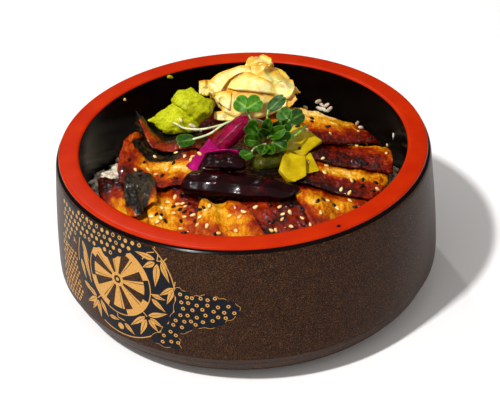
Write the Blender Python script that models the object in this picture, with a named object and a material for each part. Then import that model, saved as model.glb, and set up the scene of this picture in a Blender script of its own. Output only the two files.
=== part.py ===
"""Grilled eel on rice in a round lacquered serving bowl.

A thick-walled round bowl with a flat vermilion rim holds a bed of rice. Cut fillets of glazed grilled eel
lie shingled on the rice, strewn with white and black sesame. A garnish stands on the eel: a lump of wasabi,
a heap of pickled ginger slices, purple pickled aubergine, yellow and green pickled cucumber, and a tangle of
radish sprouts.

Lengths are in metres. Z is up, the origin is in the middle of the foot, and the front of the dish faces -Y.
Every piece is laid in turn on a height map of what already lies there, so that it rests and never cuts in.
"""

import math
import random
from collections import namedtuple

import bmesh
import bpy
import numpy as np
from mathutils import Matrix, Vector, noise
from mathutils.bvhtree import BVHTree

MM = 0.001

# Bowl
HEIGHT = 81.5 * MM
RIM_RADIUS = 95.0 * MM
RIM_INNER_RADIUS = 84.6 * MM
RIM_EDGE = 0.9 * MM
SEAM_DEPTH = 0.5 * MM
SHOULDER_RADIUS = 97.1 * MM
SHOULDER_HEIGHT = 74.5 * MM
BELLY_RADIUS = 100.4 * MM
BELLY_HEIGHT = 21.0 * MM
SIDE_CURVE = 1.6
SIDE_HEIGHTS = (7.5 * MM, 11 * MM, 15 * MM, BELLY_HEIGHT, 34 * MM, 50 * MM, 64 * MM, SHOULDER_HEIGHT)
TURN_IN_CENTRE = 55.0 * MM
TURN_IN_REACH = 27.4 * MM
FOOT_RADIUS = 84.0 * MM
FOOT_INNER_RADIUS = 76.0 * MM
FOOT_RECESS = 5.0 * MM
GROOVE_HEIGHT = 4.6 * MM
GROOVE_DEPTH = 0.8 * MM
FLOOR_HEIGHT = 18.0 * MM
FLOOR_CORNER = 20.0 * MM
CORNER_STEPS = 4
WALL_FOOT_RADIUS = 80.0 * MM
BOWL_SEGMENTS = 48
SHARP_ANGLE = math.radians(40)

# Rice
RICE_CLEARANCE = 0.6 * MM
RICE_MIDDLE = 61.0 * MM
RICE_DROP_FRONT = 3.5 * MM
RICE_DROP_BACK = 13.0 * MM
RICE_SHOULDER = 0.66
RICE_HEAP_START = 4.0 * MM
RICE_HEAP_END = 26.0 * MM
RICE_LUMPS = 0.8 * MM
RICE_LUMP_SIZE = 9.0 * MM
RICE_EDGE_SINK = 1.5 * MM
RICE_MOUND = (-73 * MM, 8 * MM)
RICE_MOUND_HEIGHT = 6.0 * MM
RICE_MOUND_WIDTH = 10.0 * MM
RICE_RINGS = (1.0, 0.955, 0.9, 0.83, 0.7, 0.45, 0.2, 0)
RICE_SEGMENTS = 32
GRAIN_LENGTH = 6.5 * MM
GRAIN_WIDTH = 2.9 * MM
GRAIN_COUNT = 22
GRAIN_FIELD = 58.0 * MM
GRAIN_PROUD = 0.5 * MM

# Sesame
SEED_LENGTH = 3.3 * MM
SEED_WIDTH = 2.0 * MM
SEED_HEIGHT = 1.3 * MM
SEED_PROUD = 0.15 * MM
SEED_COUNT = 80
SEED_SPACING = 4.4 * MM
SEED_CLEARANCE = 2.5 * MM
SEED_UPRIGHT = 0.7
SEED_FIELD = 76.0 * MM
RIM_SEED = (43.1 * MM, -80.5 * MM, 0.2)

# Ginger
GINGER_MIDDLE = (5, 53, 79)
GINGER_RADII = (22, 14.5, 13.5)
GINGER_SLICE = 1.6
GINGER_VOXEL = 0.8 * MM
GINGER_TRIANGLES = 980

# Laying: the gap left under a piece, the height map's cell, how far each high place is widened, how thin
# a piece may be pressed, and the step by which one that still touches is lifted
GAP = 0.45 * MM
CELL = 1.0 * MM
REACH = 2.2 * MM
SQUEEZE = 0.12
CLEAR_STEP = 0.2 * MM
ABOVE = 4 * HEIGHT
DOWN = Vector((0, 0, -1))

COLOURS = {
    "lacquer": ((0.045, 0.026, 0.018), 0.35),
    "rice": ((0.80, 0.77, 0.70), 0.55),
    "eel": ((0.42, 0.13, 0.02), 0.25),
    "eel_skin": ((0.05, 0.045, 0.03), 0.3),
    "wasabi": ((0.48, 0.55, 0.06), 0.6),
    "ginger": ((0.85, 0.66, 0.30), 0.4),
    "purple_pickle": ((0.20, 0.01, 0.09), 0.25),
    "dark_pickle": ((0.04, 0.006, 0.012), 0.2),
    "yellow_pickle": ((0.55, 0.48, 0.03), 0.3),
    "green_pickle": ((0.09, 0.10, 0.02), 0.3),
    "sprout": ((0.07, 0.22, 0.03), 0.45),
}

# Slices of ginger: middle, turn in degrees, length, width, arch height, tip to one side in degrees, ruffle.
Petal = namedtuple("Petal", "x y z turn length width arch tip ruffle")
PETALS = [
    Petal(-3, 52, 84, 20, 36, 17, 8, 34, 1.2),
    Petal(15, 55, 83, -30, 36, 18, 9, -20, 1.4),
    Petal(4, 45, 80, 4, 42, 15, 7, 42, 1.0),
    Petal(10, 58, 90, 55, 22, 15, 7, 12, 1.5),
    Petal(-14, 54, 80, 55, 26, 13, 6, 30, 1.3),
    Petal(22, 50, 79, -62, 26, 14, 6, 26, 1.2),
    Petal(-6, 43, 76, -8, 30, 12, 5, 40, 1.0),
]

# Wasabi: the middle and radii of each lobe, and the point inside them that its skin is spread from
WASABI_MIDDLE = (-33, 36, 78)
WASABI_LOBES = [
    ((-34, 34, 77), (13, 11.5, 9.5)),
    ((-28, 38, 82), (13, 11.5, 11)),
    ((-44, 36, 76), (7, 3.5, 3)),
]
WASABI_LUMPS = 1.3 * MM
WASABI_TRIANGLES = 420

# A cut of eel: its corners in plan (back left, back right, front right, front left), its thickness, how far
# its left end, its right end and its back edge curl up, and how deep it is folded. The first lies lowest.
Fillet = namedtuple("Fillet", "name corners thick left_curl right_curl back_curl fold")
FILLETS = [
    Fillet("eel_back_centre", [(-42, 60), (26, 62), (30, 22), (-30, 20)], 6.0, 0, 0, 0, 0),
    Fillet("eel_centre", [(-30, 28), (40, 25), (36, -44), (-38, -38)], 6.0, 0, 0, 0, 0),
    Fillet("eel_front_dark", [(-11, -31), (31, -32), (44, -62), (6, -75)], 6.5, 0, 0, 0, 0),
    Fillet("eel_left_rim", [(-80, 3), (-58, -6), (-40, -56), (-70, -42)], 5.5, 0, 0, 0, 0),
    Fillet("eel_left_gold", [(-52, -14), (-28, -20), (-11, -66), (-47, -66)], 6.5, 0, 0, 0.5, 0),
    Fillet("eel_front_gold", [(-23, -36), (-3, -39), (15, -77), (-27, -73)], 6.5, 0, 0, 1.0, 0),
    Fillet("eel_front_right", [(21, -22), (62, -27), (61, -57), (31, -62)], 6.0, 0, 0, 0.3, 0),
    Fillet("eel_right_front", [(27, 0), (80, -4), (64, -40), (24, -31)], 6.5, 0, 0, 0.5, 0),
    Fillet("eel_right_back", [(33, 19), (79, 16), (81, -18), (30, -9)], 7.5, 0, 5.0, 1.2, 0),
    Fillet("eel_back_right", [(22, 54), (66, 42), (77, 13), (28, 3)], 10.5, 0, 3.0, 1.5, 0),
    Fillet("eel_left", [(-59, 29), (-22, 13), (-27, -29), (-68, -19)], 6.5, 13.0, 0, 1.0, 0),
    Fillet("eel_back_left", [(-61, 44), (-22, 31), (-12, 7), (-50, 6)], 6.5, 13.0, 0, 2.0, 0),
    Fillet("eel_skin_fold", [(-63, -15), (-46, -13), (-43, -42), (-60, -44)], 3.0, 0, 0, 0, 2.6),
]
FILLET_COLUMNS = 10
FILLET_ROWS = 6
FILLET_ROUNDING = 0.45
CREST = 0.35
EDGE_SHARE = 0.4
RAISED_RANGE = (1 * MM, 11 * MM)
RAISED_THINNING = 0.5
EASING = 0.65
EASING_ROUNDS = 5
WALL_CLEARANCE = 1.6 * MM
WALL_EASE = 0.1

# A pickle as a stretched lump: its two ends, its width and thickness, how pointed each end is, and its bend.
Pickle = namedtuple("Pickle", "name material start end width thick points bend")
PICKLES = [
    Pickle("aubergine_dark_large", "dark_pickle", (-32, -28, 75), (28, -38, 70.5), 19, 14, (0.3, 0.95), 2),
    Pickle("cucumber_green", "green_pickle", (3, -14, 76.5), (22, -12, 77), 12, 8, (0.5, 0.5), 0),
    Pickle("aubergine_dark_small", "dark_pickle", (-21, -19, 80.5), (1, -21.5, 80.5), 13, 10, (0.4, 0.5), 1),
    Pickle("aubergine_magenta_upright", "purple_pickle", (-15, 2, 75), (4, 11, 89), 12, 10, (0.35, 0.5), 0),
]

# A cut slice of pickle: the corners of its upper face, and its thickness.
Slice = namedtuple("Slice", "name material corners thick")
SLICES = [
    Slice(
        "cucumber_yellow_back",
        "yellow_pickle",
        [(21, 20, 78), (31, 16, 80), (41, 3, 78), (31, -8, 76), (20, -3, 76), (15, 10, 77)],
        3.5,
    ),
    Slice(
        "cucumber_yellow_side",
        "yellow_pickle",
        [(30, -11, 76), (35, -7, 77), (39, -19, 72), (31, -24, 73)],
        2.6,
    ),
    Slice(
        "cucumber_yellow_front",
        "yellow_pickle",
        [(22, -12, 81), (32, -14, 80), (31.5, -27, 75), (25.5, -33, 71), (17.5, -23, 78)],
        4.0,
    ),
    Slice(
        "aubergine_magenta_flap",
        "purple_pickle",
        [(-17, -9.5, 90), (-12, -11, 84), (-1, -14.5, 80), (-13, -17, 79), (-25, -18, 75), (-30, -11, 75)],
        2.4,
    ),
]

# Radish sprouts: the core of the tangle as its middle and size, the points of each stem, and the foot,
# direction, face, length and width of each seed leaf. A leaf of the tangle starts where its foot meets it.
KNOT = ((13, -1, 81), (15, 13, 9))
KNOT_LUMPS = 0.22
STEMS = [
    ((10, 2, 82), (5, 9, 87), (3.4, 14, 92), (3.5, 12, 96)),
    ((14, 3, 83), (13, 7, 88), (14, 9.5, 95)),
    ((16, 1, 84), (21, 1, 88), (24.5, 0.5, 92.5)),
    ((15, -4, 82), (20.5, -7, 84), (27.5, -2.5, 85), (33, 7, 84.5)),
    ((13, 2, 81), (11, 17, 81), (-5, 20, 80.5), (-22, 17.5, 79), (-36, 23.5, 78)),
    ((13, 2, 81), (10, 18, 82), (-6, 19, 82), (-17, 11, 80), (-26, 9.5, 78)),
    ((12, -5, 82), (6, -10, 83), (3, -15, 82)),
]
Lobe = namedtuple("Lobe", "holder foot along face length width")
LOBES = [
    Lobe("stem", (3.5, 12, 95.6), (-0.8, 0.35, 0.45), (-0.1, -0.8, 0.6), 8.7, 9.0),
    Lobe("stem", (3.5, 12, 95.6), (0.85, 0.2, 0.45), (0.15, -0.8, 0.6), 9.0, 9.2),
    Lobe("stem", (14, 9.5, 94.6), (0.75, 0.4, 0.45), (-0.3, -0.6, 0.75), 12.4, 7.3),
    Lobe("stem", (24.5, 0.5, 92.0), (-0.6, 0.6, 0.5), (-0.3, -0.75, 0.6), 8.7, 8.5),
    Lobe("stem", (24.5, 0.5, 92.0), (0.85, 0.3, 0.3), (0.3, -0.75, 0.6), 9.0, 8.3),
    Lobe("stem", (4, -14, 82.4), (-0.55, -0.4, 0.1), (-0.3, -0.6, 0.8), 7.7, 6.5),
    Lobe("stem", (-25.5, 9.5, 78.2), (-0.85, -0.3, 0.05), (-0.1, -0.6, 0.8), 10.6, 7.7),
    Lobe("knot", (14, -4, 86), (0.7, -0.3, 0.55), (0.2, -0.8, 0.6), 11.8, 7.7),
    Lobe("knot", (11, -5, 86), (-0.3, -0.5, 0.7), (0.2, -0.8, 0.5), 10.6, 7.7),
    Lobe("knot", (8, -5, 84), (-0.85, -0.4, 0.4), (-0.3, -0.8, 0.6), 10.0, 7.1),
    Lobe("knot", (16, -7, 83), (0.6, -0.7, 0.1), (0.2, -0.7, 0.7), 11.2, 7.7),
    Lobe("knot", (9, -2, 86), (-0.4, 0.1, 0.9), (-0.3, -0.9, 0.3), 11.2, 7.1),
    Lobe("knot", (18, 0, 85), (0.7, 0.1, 0.6), (0.0, -0.8, 0.6), 11.2, 7.7),
    Lobe("knot", (11, -8, 82), (-0.2, -0.9, 0.1), (0.0, -0.5, 0.85), 10.0, 7.1),
]
STEM_RADIUS = 0.7 * MM
STEM_SIDES = 5
STEM_PIECES = 2
LEAF_POINTS = 8
LEAF_THICKNESS = 0.7 * MM
LEAF_SUNK = 0.3 * MM


def smooth_step(low, high, value):
    """0 below low, 1 above high, and an even ease between them."""
    share = min(1.0, max(0.0, (value - low) / (high - low)))
    return share * share * (3 - 2 * share)


def uneven(x, y, z, size):
    """Smooth noise from about -1 to 1, with lumps of the given size."""
    return noise.noise(Vector((x, y, z)) / size)


def material(name):
    """The named material, made the first time it is asked for."""
    found = bpy.data.materials.get(name)
    if found:
        return found
    colour, roughness = COLOURS[name]
    made = bpy.data.materials.new(name)
    made.use_nodes = True
    shader = made.node_tree.nodes["Principled BSDF"]
    shader.inputs["Base Color"].default_value = (*colour, 1)
    shader.inputs["Roughness"].default_value = roughness
    return made


def shade(mesh):
    """Shades a mesh smooth, but for its sharp edges."""
    mesh.shade_smooth()
    mesh.set_sharp_from_angle(angle=SHARP_ANGLE)


def place(name, shape, finish):
    """Turns a bmesh into a named object in the scene."""
    bmesh.ops.recalc_face_normals(shape, faces=shape.faces)
    mesh = bpy.data.meshes.new(name)
    shape.to_mesh(mesh)
    shape.free()
    mesh.materials.append(material(finish))
    shade(mesh)
    made = bpy.data.objects.new(name, mesh)
    bpy.context.scene.collection.objects.link(made)
    return made


class Pile:
    """The height of what has been laid so far, on a square grid, and the pieces themselves."""

    def __init__(self):
        self.half = BELLY_RADIUS
        self.count = int(2 * self.half / CELL) + 1
        self.top = np.full((self.count, self.count), FLOOR_HEIGHT)
        self.spread = self.top.copy()
        self.trees = {}

    def cell(self, x, y):
        """Grid place of a point, as two decimal numbers."""
        limit = self.count - 1.001
        return tuple(min(limit, max(0.0, (part + self.half) / CELL)) for part in (x, y))

    def add(self, made):
        """Raises the grid to the top of an object."""
        tree = tree_of(made)
        spots = [self.cell(v.co.x, v.co.y) for v in made.data.vertices]
        low = [int(min(spot[axis] for spot in spots)) for axis in (0, 1)]
        high = [min(self.count, int(max(spot[axis] for spot in spots)) + 2) for axis in (0, 1)]
        for i in range(low[0], high[0]):
            for j in range(low[1], high[1]):
                hit = tree.ray_cast(Vector((i * CELL - self.half, j * CELL - self.half, ABOVE)), DOWN)[0]
                if hit is not None:
                    self.top[i, j] = max(self.top[i, j], hit.z)
        self.trees[made.name] = tree
        self.spread_out()

    def spread_out(self):
        """Widens every high place by REACH, so that a coarse face laid over it stays clear."""
        wide = int(round(REACH / CELL))
        padded = np.pad(self.top, wide, mode="edge")
        self.spread = self.top.copy()
        for i in range(-wide, wide + 1):
            for j in range(-wide, wide + 1):
                if i * i + j * j <= wide * wide + 1:
                    shifted = padded[
                        wide + i : wide + i + self.count, wide + j : wide + j + self.count
                    ]
                    self.spread = np.maximum(self.spread, shifted)

    def height(self, x, y):
        """The height that a new piece has to stay above, at a point."""
        i, j = self.cell(x, y)
        a, b = int(i), int(j)
        p, q = i - a, j - b
        grid = self.spread
        low = grid[a, b] * (1 - p) + grid[a + 1, b] * p
        high = grid[a, b + 1] * (1 - p) + grid[a + 1, b + 1] * p
        return low * (1 - q) + high * q + GAP

    def press(self, shape):
        """Lifts what reaches below the pile up to it, in the order of height so that nothing folds over."""
        lowest = min(v.co.z for v in shape.verts)
        for v in shape.verts:
            rest = self.height(v.co.x, v.co.y)
            v.co.z = max(v.co.z, rest + SQUEEZE * (v.co.z - lowest))

    def clear(self, shape):
        """Lifts a whole piece until no face of it passes through a piece that lies below."""
        touched = False
        while any(BVHTree.FromBMesh(shape).overlap(tree) for tree in self.trees.values()):
            bmesh.ops.translate(shape, vec=(0, 0, CLEAR_STEP), verts=shape.verts)
            touched = True
        if touched:
            bmesh.ops.translate(shape, vec=(0, 0, CLEAR_STEP), verts=shape.verts)

    def uppermost(self, x, y):
        """The name of the piece that shows from above at a point, where it is met, and its normal there."""
        found = ("", Vector((x, y, 0)), None)
        for name, tree in self.trees.items():
            hit, normal, _, _ = tree.ray_cast(Vector((x, y, ABOVE)), DOWN)
            if hit is not None and hit.z > found[1].z:
                found = (name, hit, normal)
        return found

    def alone(self, x, y, reach):
        """The piece that shows at a point and at four more a reach away, or nothing if they differ."""
        spots = [(0, 0), (reach, 0), (-reach, 0), (0, reach), (0, -reach)]
        names = {self.uppermost(x + dx, y + dy)[0] for dx, dy in spots}
        return names.pop() if len(names) == 1 else ""


def bowl_side(height):
    """Outer radius of the bowl's side, from the turned-in foot to the shoulder."""
    if height < BELLY_HEIGHT:
        share = (BELLY_HEIGHT - height) / TURN_IN_REACH
        return TURN_IN_CENTRE + (BELLY_RADIUS - TURN_IN_CENTRE) * math.sqrt(1 - share**2)
    share = (height - BELLY_HEIGHT) / (SHOULDER_HEIGHT - BELLY_HEIGHT)
    return BELLY_RADIUS - (BELLY_RADIUS - SHOULDER_RADIUS) * share**SIDE_CURVE


def bowl_profile():
    """Radius and height from the middle of the underside, up the outside, over the rim and down inside."""
    points = [
        (0, FOOT_RECESS),
        (FOOT_INNER_RADIUS, FOOT_RECESS),
        (FOOT_INNER_RADIUS + FOOT_RECESS / 2, 0),
        (FOOT_RADIUS, 0),
    ]
    groove = [GROOVE_HEIGHT - GROOVE_DEPTH, GROOVE_HEIGHT, GROOVE_HEIGHT + GROOVE_DEPTH / 2]
    points += [
        (bowl_side(groove[0]), groove[0]),
        (bowl_side(groove[1]) - GROOVE_DEPTH, groove[1]),
        (bowl_side(groove[2]), groove[2]),
    ]
    points += [(bowl_side(height), height) for height in SIDE_HEIGHTS]
    rim_foot = HEIGHT - 2 * RIM_EDGE
    points += [
        (RIM_RADIUS + RIM_EDGE, rim_foot - 2 * RIM_EDGE),
        (RIM_RADIUS - SEAM_DEPTH, rim_foot),
        (RIM_RADIUS, HEIGHT - RIM_EDGE),
        (RIM_RADIUS - RIM_EDGE, HEIGHT),
        (RIM_INNER_RADIUS + RIM_EDGE, HEIGHT),
        (RIM_INNER_RADIUS, HEIGHT - RIM_EDGE),
    ]
    for step in range(CORNER_STEPS + 1):
        angle = math.radians(90 * step / CORNER_STEPS)
        points.append(
            (
                WALL_FOOT_RADIUS - FLOOR_CORNER * (1 - math.cos(angle)),
                FLOOR_HEIGHT + FLOOR_CORNER * (1 - math.sin(angle)),
            )
        )
    points.append((0, FLOOR_HEIGHT))
    return points


def inner_radius(height):
    """Radius of the bowl's inside at a height above its rounded corner."""
    low = FLOOR_HEIGHT + FLOOR_CORNER
    share = (height - low) / (HEIGHT - RIM_EDGE - low)
    return WALL_FOOT_RADIUS + (RIM_INNER_RADIUS - WALL_FOOT_RADIUS) * max(0.0, share)


def turned(profile, segments):
    """A bmesh turned from pairs of radius and height, whose first and last lie on the axis."""
    shape = bmesh.new()
    row = [shape.verts.new((radius, 0, height)) for radius, height in profile]
    edges = [shape.edges.new(pair) for pair in zip(row, row[1:])]
    bmesh.ops.spin(
        shape,
        geom=row + edges,
        cent=(0, 0, 0),
        axis=(0, 0, 1),
        angle=2 * math.pi,
        steps=segments,
        use_merge=True,
    )
    bmesh.ops.remove_doubles(shape, verts=shape.verts, dist=0.02 * MM)
    return shape


def ellipsoid(length, width, height):
    """A small faceted lump with its long axis on X."""
    shape = bmesh.new()
    bmesh.ops.create_icosphere(shape, subdivisions=1, radius=1)
    bmesh.ops.scale(shape, vec=(length / 2, width / 2, height / 2), verts=shape.verts)
    return shape


def fuse(base, pieces, solver="EXACT"):
    """Joins small pieces to a base with one Boolean union, and removes them."""
    if not pieces:
        return
    group = bpy.data.collections.new(base.name + "_pieces")
    bpy.context.scene.collection.children.link(group)
    for piece in pieces:
        bpy.context.scene.collection.objects.unlink(piece)
        group.objects.link(piece)
    union = base.modifiers.new("union", "BOOLEAN")
    union.operation = "UNION"
    union.operand_type = "COLLECTION"
    union.collection = group
    union.solver = solver
    finish = base.data.materials[0]
    settle_modifiers(base)
    base.data.materials.clear()
    base.data.materials.append(finish)
    for piece in pieces:
        bpy.data.objects.remove(piece)
    bpy.data.collections.remove(group)
    keep_largest(base)


def settle_modifiers(made):
    """Applies an object's modifiers."""
    bpy.context.view_layer.update()
    graph = bpy.context.evaluated_depsgraph_get()
    made.data = bpy.data.meshes.new_from_object(made.evaluated_get(graph))
    made.modifiers.clear()


def keep_largest(made):
    """Keeps only the largest body of a fused node: loose scraps and sealed hollows go."""
    shape = bmesh.new()
    shape.from_mesh(made.data)
    left = set(shape.faces)
    bodies = []
    while left:
        stack = [left.pop()]
        body = set(stack)
        while stack:
            for edge in stack.pop().edges:
                near = [face for face in edge.link_faces if face in left]
                left.difference_update(near)
                body.update(near)
                stack.extend(near)
        bodies.append(body)
    bodies.sort(key=len)
    scraps = [face for body in bodies[:-1] for face in body]
    bmesh.ops.delete(shape, geom=scraps, context="FACES")
    shape.to_mesh(made.data)
    shape.free()
    shade(made.data)


def tree_of(made):
    """A search tree of an object's mesh."""
    shape = bmesh.new()
    shape.from_mesh(made.data)
    tree = BVHTree.FromBMesh(shape)
    shape.free()
    return tree


def thin(made, triangles):
    """Thins an object's mesh to a number of triangles."""
    modifier = made.modifiers.new("thin", "DECIMATE")
    modifier.ratio = triangles / sum(len(face.vertices) - 2 for face in made.data.polygons)
    settle_modifiers(made)


def melt(base, pieces, voxel, triangles):
    """Joins soft overlapping pieces to a base as one even skin, and thins it to a number of triangles."""
    shape = bmesh.new()
    for made in [base, *pieces]:
        shape.from_mesh(made.data)
    shape.to_mesh(base.data)
    shape.free()
    for piece in pieces:
        bpy.data.objects.remove(piece)
    skin = base.modifiers.new("skin", "REMESH")
    skin.mode = "VOXEL"
    skin.voxel_size = voxel
    settle_modifiers(base)
    thin(base, triangles)
    keep_largest(base)


def build_bowl():
    """The lacquered bowl, turned in one piece."""
    return place("bowl", turned(bowl_profile(), BOWL_SEGMENTS), "lacquer")


def rice_top(x, y):
    """Height of the bed of rice: nearly level in front, heaped away from the wall at the back."""
    shoulder = smooth_step(RICE_SHOULDER, 1.0, math.hypot(x, y) / WALL_FOOT_RADIUS)
    heaped = smooth_step(RICE_HEAP_START, RICE_HEAP_END, y)
    drop = RICE_DROP_FRONT + (RICE_DROP_BACK - RICE_DROP_FRONT) * heaped
    off_mound = math.hypot(x - RICE_MOUND[0], y - RICE_MOUND[1]) / RICE_MOUND_WIDTH
    mound = RICE_MOUND_HEIGHT * math.exp(-(off_mound**2))
    return RICE_MIDDLE - drop * shoulder + mound + RICE_LUMPS * uneven(x, y, 0, RICE_LUMP_SIZE)


def build_rice_core():
    """The bed of rice without its loose grains: it fills the bowl, a hair clear of the wall."""
    edge = inner_radius(RICE_MIDDLE) - RICE_CLEARANCE
    corner = FLOOR_CORNER + RICE_CLEARANCE
    base = FLOOR_HEIGHT + RICE_CLEARANCE
    foot = WALL_FOOT_RADIUS - RICE_CLEARANCE
    rounded = corner * (1 - math.sqrt(0.5))
    profile = [(0, base), (foot - corner, base), (foot - rounded, base + rounded), (foot, base + corner)]
    profile += [(edge * share, RICE_MIDDLE) for share in RICE_RINGS]
    shape = turned(profile, RICE_SEGMENTS)
    for v in shape.verts:
        if v.co.z > RICE_MIDDLE - CELL:
            sunk = RICE_EDGE_SINK if math.hypot(v.co.x, v.co.y) > 0.99 * edge else 0
            v.co.z = rice_top(v.co.x, v.co.y) - sunk
            narrow = (inner_radius(v.co.z) - RICE_CLEARANCE) / edge
            v.co.x *= narrow
            v.co.y *= narrow
    return place("rice", shape, "rice")


def fillet_height(fillet, s, t):
    """How far a fillet's underside stands off the pile through its curls and folds, at -1 to 1 each way."""
    left = fillet.left_curl * smooth_step(0.35, 1.0, -s) * smooth_step(-1.6, 0.9, t)
    right = fillet.right_curl * smooth_step(0.2, 1.0, s) * smooth_step(-1.6, 0.9, t)
    back = fillet.back_curl * smooth_step(0.1, 1.0, t)
    fold = fillet.fold * (0.5 + 0.5 * math.cos(3.1 * math.pi * s + 0.8 * t))
    return (left + right + back + fold) * MM


def fillet_thickness(fillet, s, t, x, y):
    """A fillet is thickest behind its middle and rolls down to its edges, with shallow ridges."""
    off = (t - CREST) / (1 - CREST if t > CREST else 1 + CREST)
    across = EDGE_SHARE + (1 - EDGE_SHARE) * (1 - abs(off) ** 2.4)
    along = 1 - 0.22 * abs(s) ** 5
    ridges = 0.35 * MM * math.sin(x / (1.5 * MM) + 2 * uneven(x, y, 1, 12 * MM))
    lumps = 0.8 * MM * uneven(x, y, 2, 7 * MM)
    return fillet.thick * MM * across * along + ridges + lumps


def fillet_place(fillet, s, t):
    """Plan position of a point on a fillet, a rounded and slightly ragged four-sided cut."""
    u = s * math.sqrt(1 - FILLET_ROUNDING * t * t / 2)
    v = t * math.sqrt(1 - FILLET_ROUNDING * s * s / 2)
    u *= 1 + 0.06 * uneven(v * 9 * MM, fillet.thick * MM, fillet.corners[0][0] * MM, 5 * MM)
    v *= 1 + 0.08 * uneven(u * 12 * MM, fillet.thick * MM, fillet.corners[1][0] * MM, 5 * MM)
    back_left, back_right, front_right, front_left = (Vector(c) * MM for c in fillet.corners)
    back = back_left.lerp(back_right, (u + 1) / 2)
    front = front_left.lerp(front_right, (u + 1) / 2)
    x, y = front.lerp(back, (v + 1) / 2)
    limit = inner_radius(RICE_MIDDLE) - WALL_CLEARANCE
    radius = math.hypot(x, y)
    free = 1 - WALL_EASE
    if radius > limit * free:
        squeezed = limit * (1 - WALL_EASE * math.exp(-(radius / limit - free) / WALL_EASE))
        x, y = x * squeezed / radius, y * squeezed / radius
    return x, y


def both_faces(shape):
    """Doubles a flat sheet into a closed solid, and returns the corners of its lower and upper face."""
    under = list(shape.verts)
    extruded = bmesh.ops.extrude_face_region(shape, geom=shape.faces[:], use_keep_orig=True)
    return under, [part for part in extruded["geom"] if isinstance(part, bmesh.types.BMVert)]


def build_fillet(fillet, pile):
    """One cut of eel, draped over the pile: its underside bridges hollows and its top follows it."""
    columns, rows = FILLET_COLUMNS + 1, FILLET_ROWS + 1
    spots = [
        (2 * (i % columns) / FILLET_COLUMNS - 1, 2 * (i // columns) / FILLET_ROWS - 1)
        for i in range(columns * rows)
    ]
    places = [fillet_place(fillet, s, t) for s, t in spots]
    curls = np.array([fillet_height(fillet, s, t) for s, t in spots]).reshape(rows, columns)
    rest = np.array([pile.height(x, y) for x, y in places]).reshape(rows, columns) + curls
    bottom = rest
    for _ in range(EASING_ROUNDS):
        padded = np.pad(bottom, 1, mode="edge")
        mean = (padded[:-2, 1:-1] + padded[2:, 1:-1] + padded[1:-1, :-2] + padded[1:-1, 2:]) / 4
        bottom = np.maximum(rest, (1 - EASING) * bottom + EASING * mean)
    shape = bmesh.new()
    bmesh.ops.create_grid(shape, x_segments=FILLET_COLUMNS, y_segments=FILLET_ROWS, size=1)
    under, over = both_faces(shape)
    for group in (under, over):
        for v in group:
            i, j = round((v.co.y + 1) / 2 * FILLET_ROWS), round((v.co.x + 1) / 2 * FILLET_COLUMNS)
            (s, t), (x, y) = spots[i * columns + j], places[i * columns + j]
            height = bottom[i, j]
            if group is over:
                raised = smooth_step(*RAISED_RANGE, height - curls[i, j] - rice_top(x, y))
                height += fillet_thickness(fillet, s, t, x, y) * (1 - RAISED_THINNING * raised)
            v.co = (x, y, height)
    bmesh.ops.triangulate(shape, faces=shape.faces)
    pile.clear(shape)
    made = place(fillet.name, shape, "eel_skin" if fillet.fold else "eel")
    pile.add(made)
    return made


def reach_of_lobe(start, ray, centre, radii):
    """How far a ray from start goes before it leaves an ellipsoid, or 0 if it misses it."""
    p = Vector((start - centre)[i] / radii[i] for i in range(3))
    d = Vector(ray[i] / radii[i] for i in range(3))
    a, b, c = d.dot(d), 2 * p.dot(d), p.dot(p) - 1
    inside = b * b - 4 * a * c
    return max(0.0, (-b + math.sqrt(inside)) / (2 * a)) if inside > 0 else 0.0


def build_wasabi(pile):
    """A spooned lump of wasabi in two lobes, with a smeared tail to the left."""
    shape = bmesh.new()
    bmesh.ops.create_icosphere(shape, subdivisions=4, radius=1)
    middle = Vector(WASABI_MIDDLE) * MM
    for v in shape.verts:
        ray = v.co.normalized()
        reaches = [
            reach_of_lobe(middle, ray, Vector(centre) * MM, Vector(radii) * MM)
            for centre, radii in WASABI_LOBES
        ]
        v.co = middle + ray * max(reaches)
        v.co += ray * WASABI_LUMPS * uneven(*v.co, 5 * MM)
    pile.press(shape)
    made = place("wasabi", shape, "wasabi")
    thin(made, WASABI_TRIANGLES)
    pile.add(made)
    return made


def build_ginger(pile):
    """A heap of thin pickled ginger slices, folded over one another on a lumpy core."""
    shape = bmesh.new()
    bmesh.ops.create_icosphere(shape, subdivisions=3, radius=1)
    for v in shape.verts:
        folds = 1 + 0.10 * math.sin(5 * math.atan2(v.co.y, v.co.x) + 4 * v.co.z)
        spread = (v.co.x * folds, v.co.y * folds, v.co.z)
        v.co = Vector(m + r * c for m, r, c in zip(GINGER_MIDDLE, GINGER_RADII, spread)) * MM
    pile.press(shape)
    core = place("ginger", shape, "ginger")
    petals = []
    for number, petal in enumerate(PETALS):
        sheet = bmesh.new()
        bmesh.ops.create_grid(sheet, x_segments=8, y_segments=3, size=1)
        under, over = both_faces(sheet)
        for group, lift in ((under, 0.0), (over, GINGER_SLICE)):
            for v in group:
                s, t = v.co.x, v.co.y
                width = petal.width * (1 - 0.35 * s * s)
                arch = petal.arch * (0.65 - s * s) + petal.ruffle * math.sin(4 * s + number) * t
                v.co = Vector((s * petal.length / 2, t * width / 2, arch + lift))
        bmesh.ops.triangulate(sheet, faces=sheet.faces)
        turn = Matrix.Rotation(math.radians(petal.turn), 4, "Z")
        tip = Matrix.Rotation(math.radians(petal.tip), 4, "X")
        bmesh.ops.transform(sheet, matrix=turn @ tip, verts=sheet.verts)
        for v in sheet.verts:
            v.co = (v.co + Vector((petal.x, petal.y, petal.z))) * MM
        pile.press(sheet)
        petals.append(place(f"petal_{number}", sheet, "ginger"))
    melt(core, petals, GINGER_VOXEL, GINGER_TRIANGLES)
    pile.add(core)
    return core


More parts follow.
